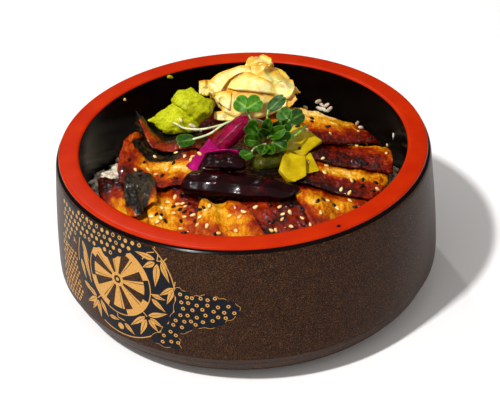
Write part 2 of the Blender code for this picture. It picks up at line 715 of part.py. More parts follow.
def build_pickle(pickle, pile):
    """A stretched lump of pickled vegetable between two ends."""
    shape = bmesh.new()
    bmesh.ops.create_uvsphere(shape, u_segments=10, v_segments=10, radius=1)
    start, end = Vector(pickle.start) * MM, Vector(pickle.end) * MM
    along = (end - start) / 2
    side = Vector((-along.y, along.x, 0)).normalized()
    up = along.cross(side).normalized()
    up = up if up.z > 0 else -up
    for v in shape.verts:
        point = pickle.points[0] if v.co.z < 0 else pickle.points[1]
        share = math.copysign(abs(v.co.z) ** point, v.co.z)
        ring = math.sqrt(max(0.0, 1 - v.co.z**2))
        radius = math.hypot(v.co.x, v.co.y)
        a, b = (v.co.x / radius * ring, v.co.y / radius * ring) if radius > 1e-6 else (0, 0)
        crease = 1 + 0.12 * uneven(share * 9 * MM, a * 4 * MM, pickle.width * MM, 3 * MM)
        spot = (start + end) / 2 + along * share
        spot += side * (a * pickle.width / 2 * crease + pickle.bend * (1 - share * share)) * MM
        v.co = spot + up * b * pickle.thick / 2 * crease * MM
    bmesh.ops.triangulate(shape, faces=shape.faces)
    pile.press(shape)
    pile.clear(shape)
    made = place(pickle.name, shape, pickle.material)
    pile.add(made)
    return made


def build_slice(cut, pile):
    """A flat cut of pickle with softened edges, leaning as it was dropped."""
    corners = [Vector(corner) * MM for corner in cut.corners]
    middle = sum(corners, Vector()) / len(corners)
    pairs = zip(corners, corners[1:] + corners[:1])
    face = sum(((a - middle).cross(b - middle) for a, b in pairs), Vector())
    face = -face.normalized() if face.z < 0 else face.normalized()
    shape = bmesh.new()
    rings = []
    for share, depth in ((0.90, 0), (1.0, 0.22), (1.0, 0.78), (0.90, 1)):
        rings.append(
            [shape.verts.new(middle.lerp(c, share) - face * depth * cut.thick * MM) for c in corners]
        )
    count = len(corners)
    for low, high in zip(rings, rings[1:]):
        for i in range(count):
            shape.faces.new((low[i - 1], low[i], high[i], high[i - 1]))
    for ring, depth in ((rings[0], -0.1), (rings[-1], 1.1)):
        hub = shape.verts.new(middle - face * depth * cut.thick * MM)
        for i in range(count):
            shape.faces.new((ring[i - 1], ring[i], hub))
    bmesh.ops.triangulate(shape, faces=shape.faces)
    long = [edge for edge in shape.edges if edge.calc_length() > 7 * MM]
    bmesh.ops.subdivide_edges(shape, edges=long, cuts=1)
    bmesh.ops.triangulate(shape, faces=shape.faces)
    pile.press(shape)
    pile.clear(shape)
    made = place(cut.name, shape, cut.material)
    pile.add(made)
    return made


def along_curve(points, count):
    """Evenly numbered points along a smooth curve through the given ones."""
    found = []
    for step in range(count + 1):
        where = step / count * (len(points) - 1)
        index = min(int(where), len(points) - 2)
        share = where - index
        a, b = points[max(0, index - 1)], points[index]
        c, d = points[index + 1], points[min(len(points) - 1, index + 2)]
        found.append(
            0.5
            * (
                2 * b
                + (c - a) * share
                + (2 * a - 5 * b + 4 * c - d) * share**2
                + (3 * b - a - 3 * c + d) * share**3
            )
        )
    return found


def stem_shape(points):
    """A thin many-sided tube through points, closed at both ends."""
    shape = bmesh.new()
    rings = []
    for index, point in enumerate(points):
        before, after = points[max(0, index - 1)], points[min(len(points) - 1, index + 1)]
        along = (after - before).normalized()
        side = along.cross(Vector((0.1, 0.2, 1))).normalized()
        up = side.cross(along)
        ring = []
        for step in range(STEM_SIDES):
            angle = 2 * math.pi * step / STEM_SIDES
            offset = side * math.cos(angle) + up * math.sin(angle)
            ring.append(shape.verts.new(point + offset * STEM_RADIUS))
        rings.append(ring)
    for low, high in zip(rings, rings[1:]):
        for i in range(STEM_SIDES):
            shape.faces.new((low[i - 1], low[i], high[i], high[i - 1]))
    shape.faces.new(rings[0])
    shape.faces.new(rings[-1])
    bmesh.ops.triangulate(shape, faces=shape.faces)
    return shape


def lobe_shape(lobe):
    """One round seed leaf, a thin cupped solid that widens from its foot."""
    along = Vector(lobe.along).normalized()
    side = Vector(lobe.face).cross(along).normalized()
    face = along.cross(side)
    shape = bmesh.new()
    bmesh.ops.create_circle(shape, cap_ends=True, cap_tris=True, segments=LEAF_POINTS, radius=1)
    raised = set(both_faces(shape)[1])
    for v in shape.verts:
        s, t = v.co.x, v.co.y
        reach = (0.42 + 0.5 * s) * lobe.length
        spread = t * (1 + 0.18 * s) * lobe.width / 2
        cup = 0.10 * lobe.length * (s * s + t * t - 1) + (LEAF_THICKNESS / MM if v in raised else 0)
        v.co = (Vector(lobe.foot) + along * reach + side * spread + face * cup) * MM
    return shape


def build_sprouts(pile):
    """The tangle of radish sprouts: stems and seed leaves fused to a small core where they cross."""
    middle, size = (Vector(values) * MM for values in KNOT)
    core_shape = ellipsoid(*size)
    bmesh.ops.translate(core_shape, vec=middle, verts=core_shape.verts)
    for v in core_shape.verts:
        v.co += (v.co - middle) * KNOT_LUMPS * uneven(*v.co, 3 * MM)
    pile.press(core_shape)
    pile.clear(core_shape)
    tree = BVHTree.FromBMesh(core_shape)
    core = place("radish_sprouts", core_shape, "sprout")
    pieces = []
    for number, stem in enumerate(STEMS):
        points = along_curve([Vector(point) * MM for point in stem], STEM_PIECES * (len(stem) - 1))
        for point in points:
            point.z = max(point.z, pile.height(point.x, point.y) + STEM_RADIUS)
        tube = stem_shape(points)
        pile.clear(tube)
        pieces.append(place(f"stem_{number}", tube, "sprout"))
    for number, lobe in enumerate(LOBES):
        leaf = lobe_shape(lobe)
        if lobe.holder == "knot":
            foot = Vector(lobe.foot) * MM
            sunk = Vector(lobe.along).normalized() * LEAF_SUNK
            bmesh.ops.translate(leaf, vec=tree.find_nearest(foot)[0] - foot - sunk, verts=leaf.verts)
        pile.clear(leaf)
        pieces.append(place(f"leaf_{number}", leaf, "sprout"))
    fuse(core, pieces, "MANIFOLD")
    return core


def lying_at(shape, hit, normal, proud, yaw, label):
    """Lays a small piece on a surface, its middle proud of it, turned by yaw about the surface's normal."""
    lie = normal.to_track_quat("Z", "X").to_matrix().to_4x4() @ Matrix.Rotation(yaw, 4, "Z")
    bmesh.ops.transform(shape, matrix=Matrix.Translation(hit + normal * proud) @ lie, verts=shape.verts)
    return place(label, shape, "rice")


def seed_shape():
    """A flat six-sided sesame seed."""
    shape = bmesh.new()
    bmesh.ops.create_uvsphere(shape, u_segments=6, v_segments=2, radius=1)
    size = (SEED_LENGTH / 2, SEED_WIDTH / 2, SEED_HEIGHT / 2)
    bmesh.ops.scale(shape, vec=size, verts=shape.verts)
    return shape


def add_seeds(pile, nodes):
    """Strews sesame seeds over the eel, clear of every other piece, and fuses them on; one is on the rim."""
    draw = random.Random(7)
    eel = {fillet.name for fillet in FILLETS}
    chosen = []
    seeds = {}
    while len(chosen) < SEED_COUNT:
        angle, radius = draw.uniform(0, 2 * math.pi), SEED_FIELD * math.sqrt(draw.random())
        x, y = radius * math.cos(angle), radius * math.sin(angle)
        yaw = draw.uniform(0, math.pi)
        name = pile.alone(x, y, SEED_CLEARANCE)
        if name not in eel or any(math.hypot(x - a, y - b) < SEED_SPACING for a, b in chosen):
            continue
        _, hit, normal = pile.uppermost(x, y)
        if normal.z < SEED_UPRIGHT:
            continue
        chosen.append((x, y))
        label = f"seed_{len(chosen)}"
        seeds.setdefault(name, []).append(lying_at(seed_shape(), hit, normal, SEED_PROUD, yaw, label))
    x, y, yaw = RIM_SEED
    on_rim = Vector((x, y, HEIGHT))
    seeds["bowl"] = [lying_at(seed_shape(), on_rim, Vector((0, 0, 1)), SEED_PROUD, yaw, "seed_rim")]
    for name, pieces in seeds.items():
        fuse(nodes[name], pieces)


def add_grains(pile, rice):
    """Fuses loose grains to the rice wherever the eel leaves it bare."""
    draw = random.Random(3)
    edge = inner_radius(RICE_MIDDLE) - GRAIN_LENGTH * 0.75
    grains = []
    while len(grains) < GRAIN_COUNT:
        angle, radius = draw.uniform(0, 2 * math.pi), draw.uniform(GRAIN_FIELD, edge)
        x, y = radius * math.cos(angle), radius * math.sin(angle)
        yaw = draw.uniform(0, math.pi)
        if pile.alone(x, y, GRAIN_LENGTH * 0.6) != "rice":
            continue
        _, hit, normal = pile.uppermost(x, y)
        shape = ellipsoid(GRAIN_LENGTH, GRAIN_WIDTH, GRAIN_WIDTH)
        grains.append(lying_at(shape, hit, normal, GRAIN_PROUD, yaw, f"grain_{len(grains)}"))
    fuse(rice, grains)


def main():
    for old in list(bpy.data.objects):
        bpy.data.objects.remove(old)
    pile = Pile()
    nodes = {"bowl": build_bowl(), "rice": build_rice_core()}
    pile.add(nodes["rice"])
    for fillet in FILLETS:
        nodes[fillet.name] = build_fillet(fillet, pile)
    build_wasabi(pile)
    build_ginger(pile)
    for pickle in PICKLES:
        build_pickle(pickle, pile)
    for cut in SLICES:
        build_slice(cut, pile)
    pile.add(build_sprouts(pile))
    add_seeds(pile, nodes)
    add_grains(pile, nodes["rice"])


main()
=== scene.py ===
"""The looks of grilled eel on rice in a round lacquered bowl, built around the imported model."""

import math
import random

import bmesh
import bpy
import numpy as np
from mathutils import Euler, Matrix, Vector, noise
from mathutils.bvhtree import BVHTree
from mathutils.kdtree import KDTree


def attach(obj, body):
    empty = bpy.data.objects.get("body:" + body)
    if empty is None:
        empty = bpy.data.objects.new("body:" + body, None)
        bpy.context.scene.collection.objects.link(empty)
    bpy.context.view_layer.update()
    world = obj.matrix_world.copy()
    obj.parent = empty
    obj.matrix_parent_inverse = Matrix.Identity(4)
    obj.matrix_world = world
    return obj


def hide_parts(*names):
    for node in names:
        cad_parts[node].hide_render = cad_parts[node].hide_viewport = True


MM = 0.001
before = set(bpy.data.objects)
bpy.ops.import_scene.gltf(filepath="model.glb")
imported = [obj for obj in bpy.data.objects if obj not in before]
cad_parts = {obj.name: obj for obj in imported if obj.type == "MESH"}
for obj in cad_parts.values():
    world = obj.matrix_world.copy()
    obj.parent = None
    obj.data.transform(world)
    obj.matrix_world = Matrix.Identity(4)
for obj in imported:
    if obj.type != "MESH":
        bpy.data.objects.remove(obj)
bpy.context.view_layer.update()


# The camera stands 0.9 m from the dish and looks down on it at 34 degrees, through a long lens. It is rolled
# a little about its own axis, as a camera held by hand.
CAMERA_PLACE = Vector((0, -0.7355, 0.53674))
CAMERA_TURN = Euler([math.radians(angle) for angle in (56.18616, 2.27634, -1.70037)])
camera = bpy.data.objects.new("camera", bpy.data.cameras.new("camera"))
camera.data.sensor_width = 36
camera.data.lens = 120.8
camera.data.clip_start = 0.05
camera.matrix_world = Matrix.LocRotScale(CAMERA_PLACE, CAMERA_TURN, None)
bpy.context.scene.collection.objects.link(camera)
bpy.context.scene.camera = camera


# The bowl is turned from a wood composite and lacquered: speckled dark brown outside, vermilion on its flat
# rim and gloss black inside. Below the rim runs a fine black line, and above the foot a groove, a recessed
# band and a small bead.
class Value:
    """A number or colour inside a material. Sums written on it become Math nodes."""

    def __init__(self, finish, socket):
        self.finish = finish
        self.socket = socket

    def math(self, operation, *values):
        return self.finish.node("Math", {"operation": operation}, dict(enumerate(values)))

    def __add__(self, other):
        return self.math("ADD", self, other)

    def __sub__(self, other):
        return self.math("SUBTRACT", self, other)

    def __mul__(self, other):
        return self.math("MULTIPLY", self, other)

    __radd__ = __add__
    __rmul__ = __mul__

    def __rsub__(self, other):
        return self.math("SUBTRACT", other, self)

    def between(self, low, high):
        """0 below low, 1 above high and an even ease between them. High may be the lower one."""
        return self.finish.node(
            "MapRange",
            {"interpolation_type": "SMOOTHSTEP"},
            {"Value": self, "From Min": low, "From Max": high},
        )


def paint(red, green, blue):
    """A colour as it looks on a screen, from 0 to 255 each, in the shader's own scale."""
    parts = (red / 255, green / 255, blue / 255)
    return tuple(c / 12.92 if c <= 0.04045 else ((c + 0.055) / 1.055) ** 2.4 for c in parts)


class Finish:
    """A material: one Principled shader and the nodes that feed it."""

    def __init__(self, name, **sockets):
        self.material = bpy.data.materials.new(name)
        self.material.use_nodes = True
        self.tree = self.material.node_tree
        self.shader = self.tree.nodes["Principled BSDF"]
        self.place = self.node("TexCoord", output="Object")
        self.apply(**sockets)

    def feed(self, socket, value):
        if isinstance(value, Value):
            self.tree.links.new(value.socket, socket)
        elif isinstance(value, tuple) and len(value) == 3 and socket.type == "RGBA":
            socket.default_value = (*value, 1)
        else:
            socket.default_value = value

    def node(self, kind, settings=None, inputs=None, output=0):
        made = self.tree.nodes.new("ShaderNode" + kind)
        for key, value in (settings or {}).items():
            if key == "stops":
                ramp = made.color_ramp
                while len(ramp.elements) < len(value):
                    ramp.elements.new(0.5)
                for element, (place, colour) in zip(ramp.elements, value):
                    element.position = place
                    element.color = (*colour, 1)
            else:
                setattr(made, key, value)
        for key, value in (inputs or {}).items():
            self.feed(made.inputs[key], value)
        return Value(self, made.outputs[output])

    def apply(self, **sockets):
        """Feeds the shader's sockets, named in small letters with an underscore for each space."""
        names = {name.lower().replace(" ", "_"): name for name in self.shader.inputs.keys()}
        for key, value in sockets.items():
            self.feed(self.shader.inputs[names[key]], value)

    def noise(self, size, detail=2.0, roughness=0.5, place=None):
        """Noise from 0 to 1 with lumps of a size in millimetres."""
        inputs = {"Vector": place or self.place, "Scale": 1 / (size * MM)}
        return self.node("TexNoise", inputs={**inputs, "Detail": detail, "Roughness": roughness})

    def creases(self, size, width):
        """1 along the edges of cells of a size in millimetres, easing to 0 away from them."""
        inputs = {"Vector": self.place, "Scale": 1 / (size * MM)}
        edge = self.node("TexVoronoi", {"feature": "DISTANCE_TO_EDGE"}, inputs, "Distance")
        return 1 - edge.between(0, width)

    def attribute(self, name):
        """A value that the mesh itself holds at its points."""
        return self.node("Attribute", {"attribute_name": name}, output="Fac")

    def mix(self, factor, first, second):
        """The first colour where the factor is 0 and the second where it is 1."""
        return self.node("Mix", {"data_type": "RGBA"}, {0: factor, 6: first, 7: second}, 2)

    def ramp(self, value, *stops):
        """Colours over a value, each stop a place from 0 to 1 and its colour."""
        return self.node("ValToRGB", {"stops": stops}, {"Fac": value})

    def stretched(self, *scale):
        """Places scaled along x, y and z, for a pattern that is longer one way."""
        return self.node("Mapping", inputs={"Vector": self.place, "Scale": Vector(scale)})

    def bump(self, height, depth, normal=None):
        """A bump whose height of 0 to 1 stands for a depth in millimetres."""
        inputs = {"Height": height, "Distance": depth * MM, "Strength": 1.0}
        if normal:
            inputs["Normal"] = normal
        return self.node("Bump", inputs=inputs, output="Normal")


def piece(name, shape, *finishes, smooth=True, slot="lacquer", replaces=()):
    """Puts a finished bmesh, in millimetres, into the scene as a piece that rides on the dish."""
    bmesh.ops.scale(shape, vec=(MM, MM, MM), verts=shape.verts)
    mesh = bpy.data.meshes.new(name)
    shape.to_mesh(mesh)
    shape.free()
    for finish in finishes:
        mesh.materials.append(finish.material)
    if smooth:
        mesh.shade_smooth()
    made = bpy.data.objects.new(name, mesh)
    bpy.context.scene.collection.objects.link(made)
    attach(made, "root")
    if replaces:
        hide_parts(*replaces)
    return made


def turned(profile, steps):
    """Turns pairs of radius and height into a closed shape."""
    shape = bmesh.new()
    row = [shape.verts.new((radius, 0, height)) for radius, height in profile]
    edges = [shape.edges.new(pair) for pair in zip(row, row[1:])]
    bmesh.ops.spin(
        shape,
        geom=row + edges,
        cent=(0, 0, 0),
        axis=(0, 0, 1),
        angle=2 * math.pi,
        steps=steps,
        use_merge=True,
    )
    bmesh.ops.remove_doubles(shape, verts=shape.verts, dist=0.01)
    bmesh.ops.recalc_face_normals(shape, faces=shape.faces)
    return shape


RIM_TOP = 81.5
LINE_AT = 78.6
SHOULDER_AT = 74.5
SHOULDER = 97.1
BELLY_AT = 21
BELLY = 100.4
TOE_REACH = 45.4
TOE_RISE = 27.4
INNER_RADIUS = 80
INNER_CORNER = 20
FLOOR_TOP = 18
SKIN = 0.2


def side(height):
    """Outer radius of the bare wall at a height, a hair inside the solid to leave room for the pattern."""
    if height < BELLY_AT:
        share = (BELLY_AT - height) / TOE_RISE
        return BELLY - TOE_REACH * (1 - math.sqrt(1 - share * share)) - SKIN
    if height < SHOULDER_AT:
        share = (height - BELLY_AT) / (SHOULDER_AT - BELLY_AT)
        return BELLY - (BELLY - SHOULDER) * share**1.6 - SKIN
    return SHOULDER - 0.8 * ((height - SHOULDER_AT) / 4) ** 2 - SKIN


def inner_wall(height):
    """Inner radius at a height: upright at the corner of the floor, then opening a little."""
    return INNER_RADIUS + 4.55 * max(0, height - FLOOR_TOP - INNER_CORNER) / 41.9


# Radius and height along the underside and the foot, out to the wall.
FOOT = [(0, 5.2), (72, 5.2), (75.6, 4.6), (77.2, 1.6), (78.2, 0.2), (79, 0), (83, 0), (83.6, 0.25)]
# Trim above the foot: the height at which the wall's radius is taken, the true height, and how far it stands
# out.
TRIM = [
    (1, 1, 0), (2, 2, 0), (3, 3, 0), (3.8, 3.8, 0), (4.6, 4.3, -0.75), (4.6, 4.9, -0.75), (5.3, 5.3, 0),
    (6.2, 6.2, 0), (7.4, 7.4, 0), (8, 7.6, -0.6), (9.2, 9.2, -0.7), (9.6, 9.5, -0.15), (10, 9.9, -0.05),
    (10.6, 10.5, -0.3), (12, 12, -0.35), (14.5, 14.5, -0.4), (17.2, 17.2, -0.5), (17.5, 17.4, -0.05),
    (17.8, 17.7, 0.12), (18.1, 18, 0.13), (18.5, 18.5, 0),
]
# Radius and depth below the top, from the black line over the rim to the inner lip.
LIP = [
    (95.75, 2.9), (95.3, 2.55), (94.75, 2.0), (94.75, 1.65), (94.95, 1.5), (95.0, 1.2), (94.9, 0.55),
    (94.5, 0.22), (93.6, 0.07), (92, 0), (88, 0), (86.2, 0.04), (85.4, 0.14), (84.85, 0.45), (84.65, 0.95),
    (84.55, 1.6),
]
profile = FOOT + [(side(wall) + out, height) for wall, height, out in TRIM]
profile += [(side(height), height) for height in np.linspace(19.5, 78.3, 42)]
profile += [(radius, RIM_TOP - depth) for radius, depth in LIP]
profile += [(inner_wall(height), height) for height in np.linspace(78, 42, 16)]
for step in range(13):
    turn = math.radians(7.5 * step)
    radius = INNER_RADIUS - INNER_CORNER * (1 - math.cos(turn))
    profile.append((radius, FLOOR_TOP + INNER_CORNER * (1 - math.sin(turn))))
profile.append((0, FLOOR_TOP))
bowl = turned(profile, 240)
VERMILION, BLACK = 1, 2
for face in bowl.faces:
    x, y, height = face.calc_center_median()
    if math.hypot(x, y) < 84.8 and FLOOR_TOP - 1 < height < RIM_TOP - 1.1:
        face.material_index = BLACK
    elif height > LINE_AT + 1.3:
        face.material_index = VERMILION
    elif height > LINE_AT - 0.2:
        face.material_index = BLACK

brown = Finish("brown_lacquer", specular_ior_level=0.08)
speck = brown.noise(0.5, 2, 0.8)
cloud = brown.noise(9, 2, 0.5)
ground = brown.ramp(
    speck + (cloud - 0.5) * 0.06,
    (0.30, paint(9, 4, 2)),
    (0.44, paint(28, 15, 8)),
    (0.56, paint(53, 31, 18)),
    (0.70, paint(116, 74, 40)),
)
brown.apply(base_color=ground, roughness=0.33 + speck * 0.12, normal=brown.bump(speck, 0.03))
vermilion = Finish("vermilion_lacquer", specular_ior_level=0.07)
tone = vermilion.noise(14, 2, 0.5)
vermilion.apply(
    base_color=vermilion.ramp(tone, (0.3, paint(172, 31, 0)), (0.7, paint(183, 40, 0))),
    roughness=0.27 + vermilion.noise(2.5, 3, 0.6) * 0.1,
    normal=vermilion.bump(vermilion.noise(6, 2, 0.5), 0.02),
)
black = Finish("black_lacquer", specular_ior_level=0.07)
black.apply(
    base_color=black.ramp(black.noise(12, 2), (0.3, paint(5, 2, 1)), (0.8, paint(11, 6, 4))),
    roughness=0.14 + black.noise(3, 3, 0.6) * 0.12,
)
bowl_tree = BVHTree.FromBMesh(bowl)
piece("bowl_turned", bowl, brown, vermilion, black, replaces=["bowl"])


# The pattern on the front left of the wall is drawn in gold powder on black lacquer, a tenth of a millimetre
# proud. Inside a thin gold circle lie a cart wheel and sprays of bamboo leaves, and around it are fields of
# dapple dots. Places on it are millimetres along the wall from the front, and heights.
ARC_RADIUS = 99.5
WHEEL = Vector((-70.6, 52.4))
WHEEL_HUB = 3.6
WHEEL_RIM = 16.6
CIRCLE = WHEEL + Vector((1.1, 0.2))
CIRCLE_RADIUS = 32.4
PATTERN_TOP = 77.5
gold = Finish("gold_powder", metallic=0.55, roughness=0.42)
grit = gold.noise(0.35, 2, 0.6)
gold.apply(
    base_color=gold.ramp(
        grit,
        (0.3, paint(168, 112, 46)),
        (0.6, paint(214, 160, 76)),
        (0.85, paint(234, 192, 114)),
    ),
    roughness=0.36 + grit * 0.2,
    normal=gold.bump(grit, 0.03),
)
ink = Finish("blue_black_lacquer", roughness=0.34, specular_ior_level=0.08)
ink.apply(base_color=ink.ramp(ink.noise(0.8, 2), (0.3, paint(11, 13, 19)), (0.8, paint(24, 27, 36))))


def disc(centre, radius, count):
    """Points round a circle."""
    turns = [2 * math.pi * i / count for i in range(count)]
    return [centre + Vector((math.cos(a) * radius, math.sin(a) * radius)) for a in turns]


def sector(centre, inner, outer, start, stop, count=8):
    """Part of a ring between two angles in degrees."""
    turns = [math.radians(start + (stop - start) * i / count) for i in range(count + 1)]
    near = [centre + Vector((math.cos(a), math.sin(a))) * inner for a in turns]
    far = [centre + Vector((math.cos(a), math.sin(a))) * outer for a in turns]
    return far + near[::-1]


def stroke(points, width, closed=False):
    """A brushed line as short quads."""
    points = [Vector(p) for p in points]
    if closed:
        points.append(points[0])
    offsets = []
    for i, point in enumerate(points):
        before = points[max(0, i - 1)] if not closed or i else points[-2]
        after = points[min(len(points) - 1, i + 1)] if not closed or i < len(points) - 1 else points[1]
        along = (after - before).normalized()
        offsets.append(Vector((-along.y, along.x)) * width / 2)
    left = [point + offset for point, offset in zip(points, offsets)]
    right = [point - offset for point, offset in zip(points, offsets)]
    return [[right[i], right[i + 1], left[i + 1], left[i]] for i in range(len(points) - 1)]


def leaf_outline(base, tip, width):
    """A pointed bamboo leaf, widest at a third."""
    base, tip = Vector(base), Vector(tip)
    along = tip - base
    across = Vector((-along.y, along.x)).normalized() * width / 2
    shape = [(0, 0), (0.08, 0.45), (0.22, 0.88), (0.38, 1), (0.58, 0.8), (0.78, 0.42), (0.92, 0.14), (1, 0)]
    over = [base + along * s + across * w for s, w in shape]
    under = [base + along * s - across * w for s, w in reversed(shape[1:-1])]
    return over + under


def doubled(shape):
    """Gives a flat shape a second layer of faces with a border between, and returns that layer's points."""
    raised = bmesh.ops.extrude_face_region(shape, geom=shape.faces[:], use_keep_orig=True)["geom"]
    return {part for part in raised if isinstance(part, bmesh.types.BMVert)}


def inlay(name, outlines, finish, lift, cell=None):
    """Lays flat outlines on the wall, proud of it by a lift. A cell's size, where one is given, cuts large
    outlines so that they follow the curve."""
    shape = bmesh.new()
    for outline in outlines:
        shape.faces.new([shape.verts.new((p.x, p.y, 0)) for p in outline])
    bmesh.ops.triangulate(shape, faces=shape.faces)
    if cell:
        for axis, normal in ((0, (1, 0, 0)), (1, (0, 1, 0))):
            reach = [v.co[axis] for v in shape.verts]
            for step in range(1, int((max(reach) - min(reach)) / cell) + 1):
                spot = [0, 0, 0]
                spot[axis] = min(reach) + step * cell
                everything = shape.verts[:] + shape.edges[:] + shape.faces[:]
                bmesh.ops.bisect_plane(shape, geom=everything, plane_co=spot, plane_no=normal, dist=1e-5)
        bmesh.ops.triangulate(shape, faces=shape.faces)
    bmesh.ops.recalc_face_normals(shape, faces=shape.faces)
    for face in shape.faces:
        face.normal_update()
    backward = [face for face in shape.faces if face.normal.z < 0]
    bmesh.ops.reverse_faces(shape, faces=backward)
    upper = doubled(shape)
    for v in shape.verts:
        radius = side(v.co.y) + (lift if v in upper else -0.1)
        turn = v.co.x / ARC_RADIUS
        v.co = (radius * math.sin(turn), -radius * math.cos(turn), v.co.y)
    bmesh.ops.recalc_face_normals(shape, faces=shape.faces)
    piece(name, shape, finish, smooth=False)


def scallops(points, bulge):
    """Swells each side of an outline outwards, as the edge of a cloud."""
    points = [Vector(p) for p in points]
    middle = sum(points, Vector((0, 0))) / len(points)
    found = []
    for a, b in zip(points, points[1:] + points[:1]):
        out = Vector((b.y - a.y, a.x - b.x)).normalized()
        if out.dot((a + b) / 2 - middle) < 0:
            out = -out
        for share in (0, 0.25, 0.5, 0.75):
            found.append(a.lerp(b, share) + out * bulge * math.sin(math.pi * share))
    return found


def inside_outline(spot, outline):
    """True if a spot lies inside an outline."""
    crossings = 0
    for a, b in zip(outline, outline[1:] + outline[:1]):
        if (a.y > spot.y) != (b.y > spot.y):
            if spot.x < a.x + (spot.y - a.y) / (b.y - a.y) * (b.x - a.x):
                crossings += 1
    return crossings % 2 == 1


ring = disc(CIRCLE, CIRCLE_RADIUS, 96)
circle = [p for p in ring if p.y < PATTERN_TOP]
inlay("pattern_black_disc", [circle], ink, lift=0.04, cell=2.5)
inlay("pattern_gold_circle", stroke(ring[-30:] + circle[:30], 0.55), gold, lift=0.09)

spokes = []
panels = []
for number in range(8):
    middle = 69 - 45 * number
    panels.append(sector(WHEEL, 4.2, WHEEL_RIM, middle - 9.5, middle + 9.5, 6))
    spokes.append(sector(WHEEL, WHEEL_HUB, WHEEL_RIM, middle - 35.2, middle - 15.8, 6))
    spokes.append(sector(WHEEL, WHEEL_HUB, WHEEL_RIM, middle - 14.2, middle - 9.7, 2))
inlay("pattern_wheel_brown", panels, brown, lift=0.06, cell=3)
rims = []
for number in range(4):
    middle = -2 - 90 * number
    rims.append(sector(WHEEL, WHEEL_RIM, 20.2, middle - 71, middle - 19, 14))
    rims.append(sector(WHEEL, 19.8, 20.3, middle - 19, middle + 19, 10))
rims += [sector(WHEEL, 2.2, 3.9, 90 * i, 90 * i + 90, 6) for i in range(4)]
rims += [disc(WHEEL, 1.0, 10)]
inlay("pattern_wheel_gold", spokes + rims, gold, lift=0.09, cell=3)

# Each leaf has its base, its tip and its width.
LEAVES = [
    ((-47.5, 71.2), (-58.9, 72.6), 3.2), ((-47.6, 69.4), (-54.6, 64.9), 3.2),
    ((-46.2, 69.0), (-47.7, 55.8), 3.8), ((-44.3, 69.8), (-39.9, 59.8), 2.8),
    ((-44.1, 72.0), (-40.4, 66.7), 2.4), ((-37.8, 57.3), (-45.7, 51.4), 2.8),
    ((-38.0, 56.2), (-41.8, 47.2), 2.8), ((-49.8, 50.6), (-42.3, 49.4), 2.4),
    ((-50.0, 48.3), (-42.6, 42.3), 2.8), ((-52.4, 37.6), (-41.6, 41.6), 3.0),
    ((-54.4, 36.4), (-63.5, 28.1), 3.0), ((-53.8, 35.0), (-57.7, 24.3), 3.2),
    ((-52.3, 35.3), (-47.2, 29.2), 2.6), ((-51.5, 36.4), (-44.5, 32.8), 2.6),
    ((-77.6, 27.7), (-70.8, 27.9), 2.2), ((-67.3, 27.6), (-61.4, 22.7), 2.6),
    ((-86.6, 34.0), (-94.8, 27.6), 3.0), ((-86.0, 33.0), (-84.0, 23.2), 3.0),
    ((-83.6, 34.2), (-78.4, 26.0), 2.8), ((-86.8, 34.9), (-95.0, 37.6), 3.0),
    ((-86.6, 32.6), (-90.8, 25.0), 2.6), ((-96.9, 57.0), (-90.4, 40.6), 3.2),
    ((-99.4, 50.5), (-95.2, 40.6), 2.8), ((-97.2, 38.6), (-88.0, 34.8), 2.8),
    ((-98.0, 62.0), (-92.0, 52.0), 2.8),
]
outlines = [leaf_outline(*leaf) for leaf in LEAVES]
outlines.append(disc(Vector((-70.0, 24.6)), 1.9, 10))
TWIGS = [
    [(-46.2, 70.6), (-45.6, 74.0), (-47.7, 78.0)], [(-47.7, 75.2), (-51.6, 73.9), (-54.6, 69.4)],
    [(-46.2, 70.6), (-42.6, 71.4), (-41.0, 73.2)], [(-37.6, 57.5), (-36.8, 61.0)],
    [(-53.2, 36.8), (-55.8, 39.4)], [(-71.9, 31.8), (-71.6, 29.4), (-67.2, 29.0)],
    [(-85.9, 34.2), (-83.4, 36.8)], [(-50.4, 50.8), (-46.0, 51.4)], [(-117.4, 48.0), (-105.8, 58.1)],
    [(-108.0, 59.4), (-104.5, 56.6)],
]
for twig in TWIGS:
    outlines += stroke(twig, 0.5)
inlay("pattern_leaves", outlines, gold, lift=0.09)
veins = []
for base, tip, width in LEAVES:
    base, tip = Vector(base), Vector(tip)
    veins += stroke([base.lerp(tip, 0.12), base.lerp(tip, 0.5), base.lerp(tip, 0.84)], 0.22)
inlay("pattern_leaf_veins", veins, ink, lift=0.12)

UPPER_FIELD = [
    (-121, 76.5), (-121, 50), (-113, 52), (-106, 60), (-99, 62.6), (-95.2, 64.5), (-90, 63.8),
    (-83.5, 65.2), (-80.7, 63.6), (-76.2, 62.6), (-70.1, 65.6), (-65.1, 69.4), (-60.4, 72.6), (-54.8, 76.0),
    (-53.5, 77.6),
]
RIGHT_FIELD = [
    (-36.9, 57.7), (-33.5, 56.9), (-28.0, 53.4), (-24.8, 54.8), (-19.3, 55.2), (-15.1, 54.2), (-11.0, 52.6),
    (-6.6, 50.6), (-5.6, 47.6), (-7.6, 44.6), (-12.0, 42.2), (-16.4, 38.6), (-23.1, 37.2), (-28.6, 37.6),
    (-32.0, 33.0), (-36.5, 32.2), (-35.4, 27.6), (-35.2, 22.6), (-41.0, 22.0), (-47.5, 22.2), (-52.0, 24.6),
    (-46.0, 29.6), (-41.2, 36.2), (-38.0, 43.8), (-36.2, 51.4),
]
LEFT_FIELD = [
    (-123, 54), (-113, 51.5), (-105, 52), (-102.6, 44), (-101, 36), (-99, 28), (-104, 21.5), (-123, 22),
]
fields = [scallops(UPPER_FIELD, 0.9), scallops(RIGHT_FIELD, 1.1)]
inlay("pattern_black_fields", fields, ink, lift=0.1, cell=2.5)
edge = stroke(fields[1], 0.2, closed=True)
broken = [quad for number, quad in enumerate(edge) if number % 9 < 5]
inlay("pattern_field_edge", broken, gold, lift=0.13)
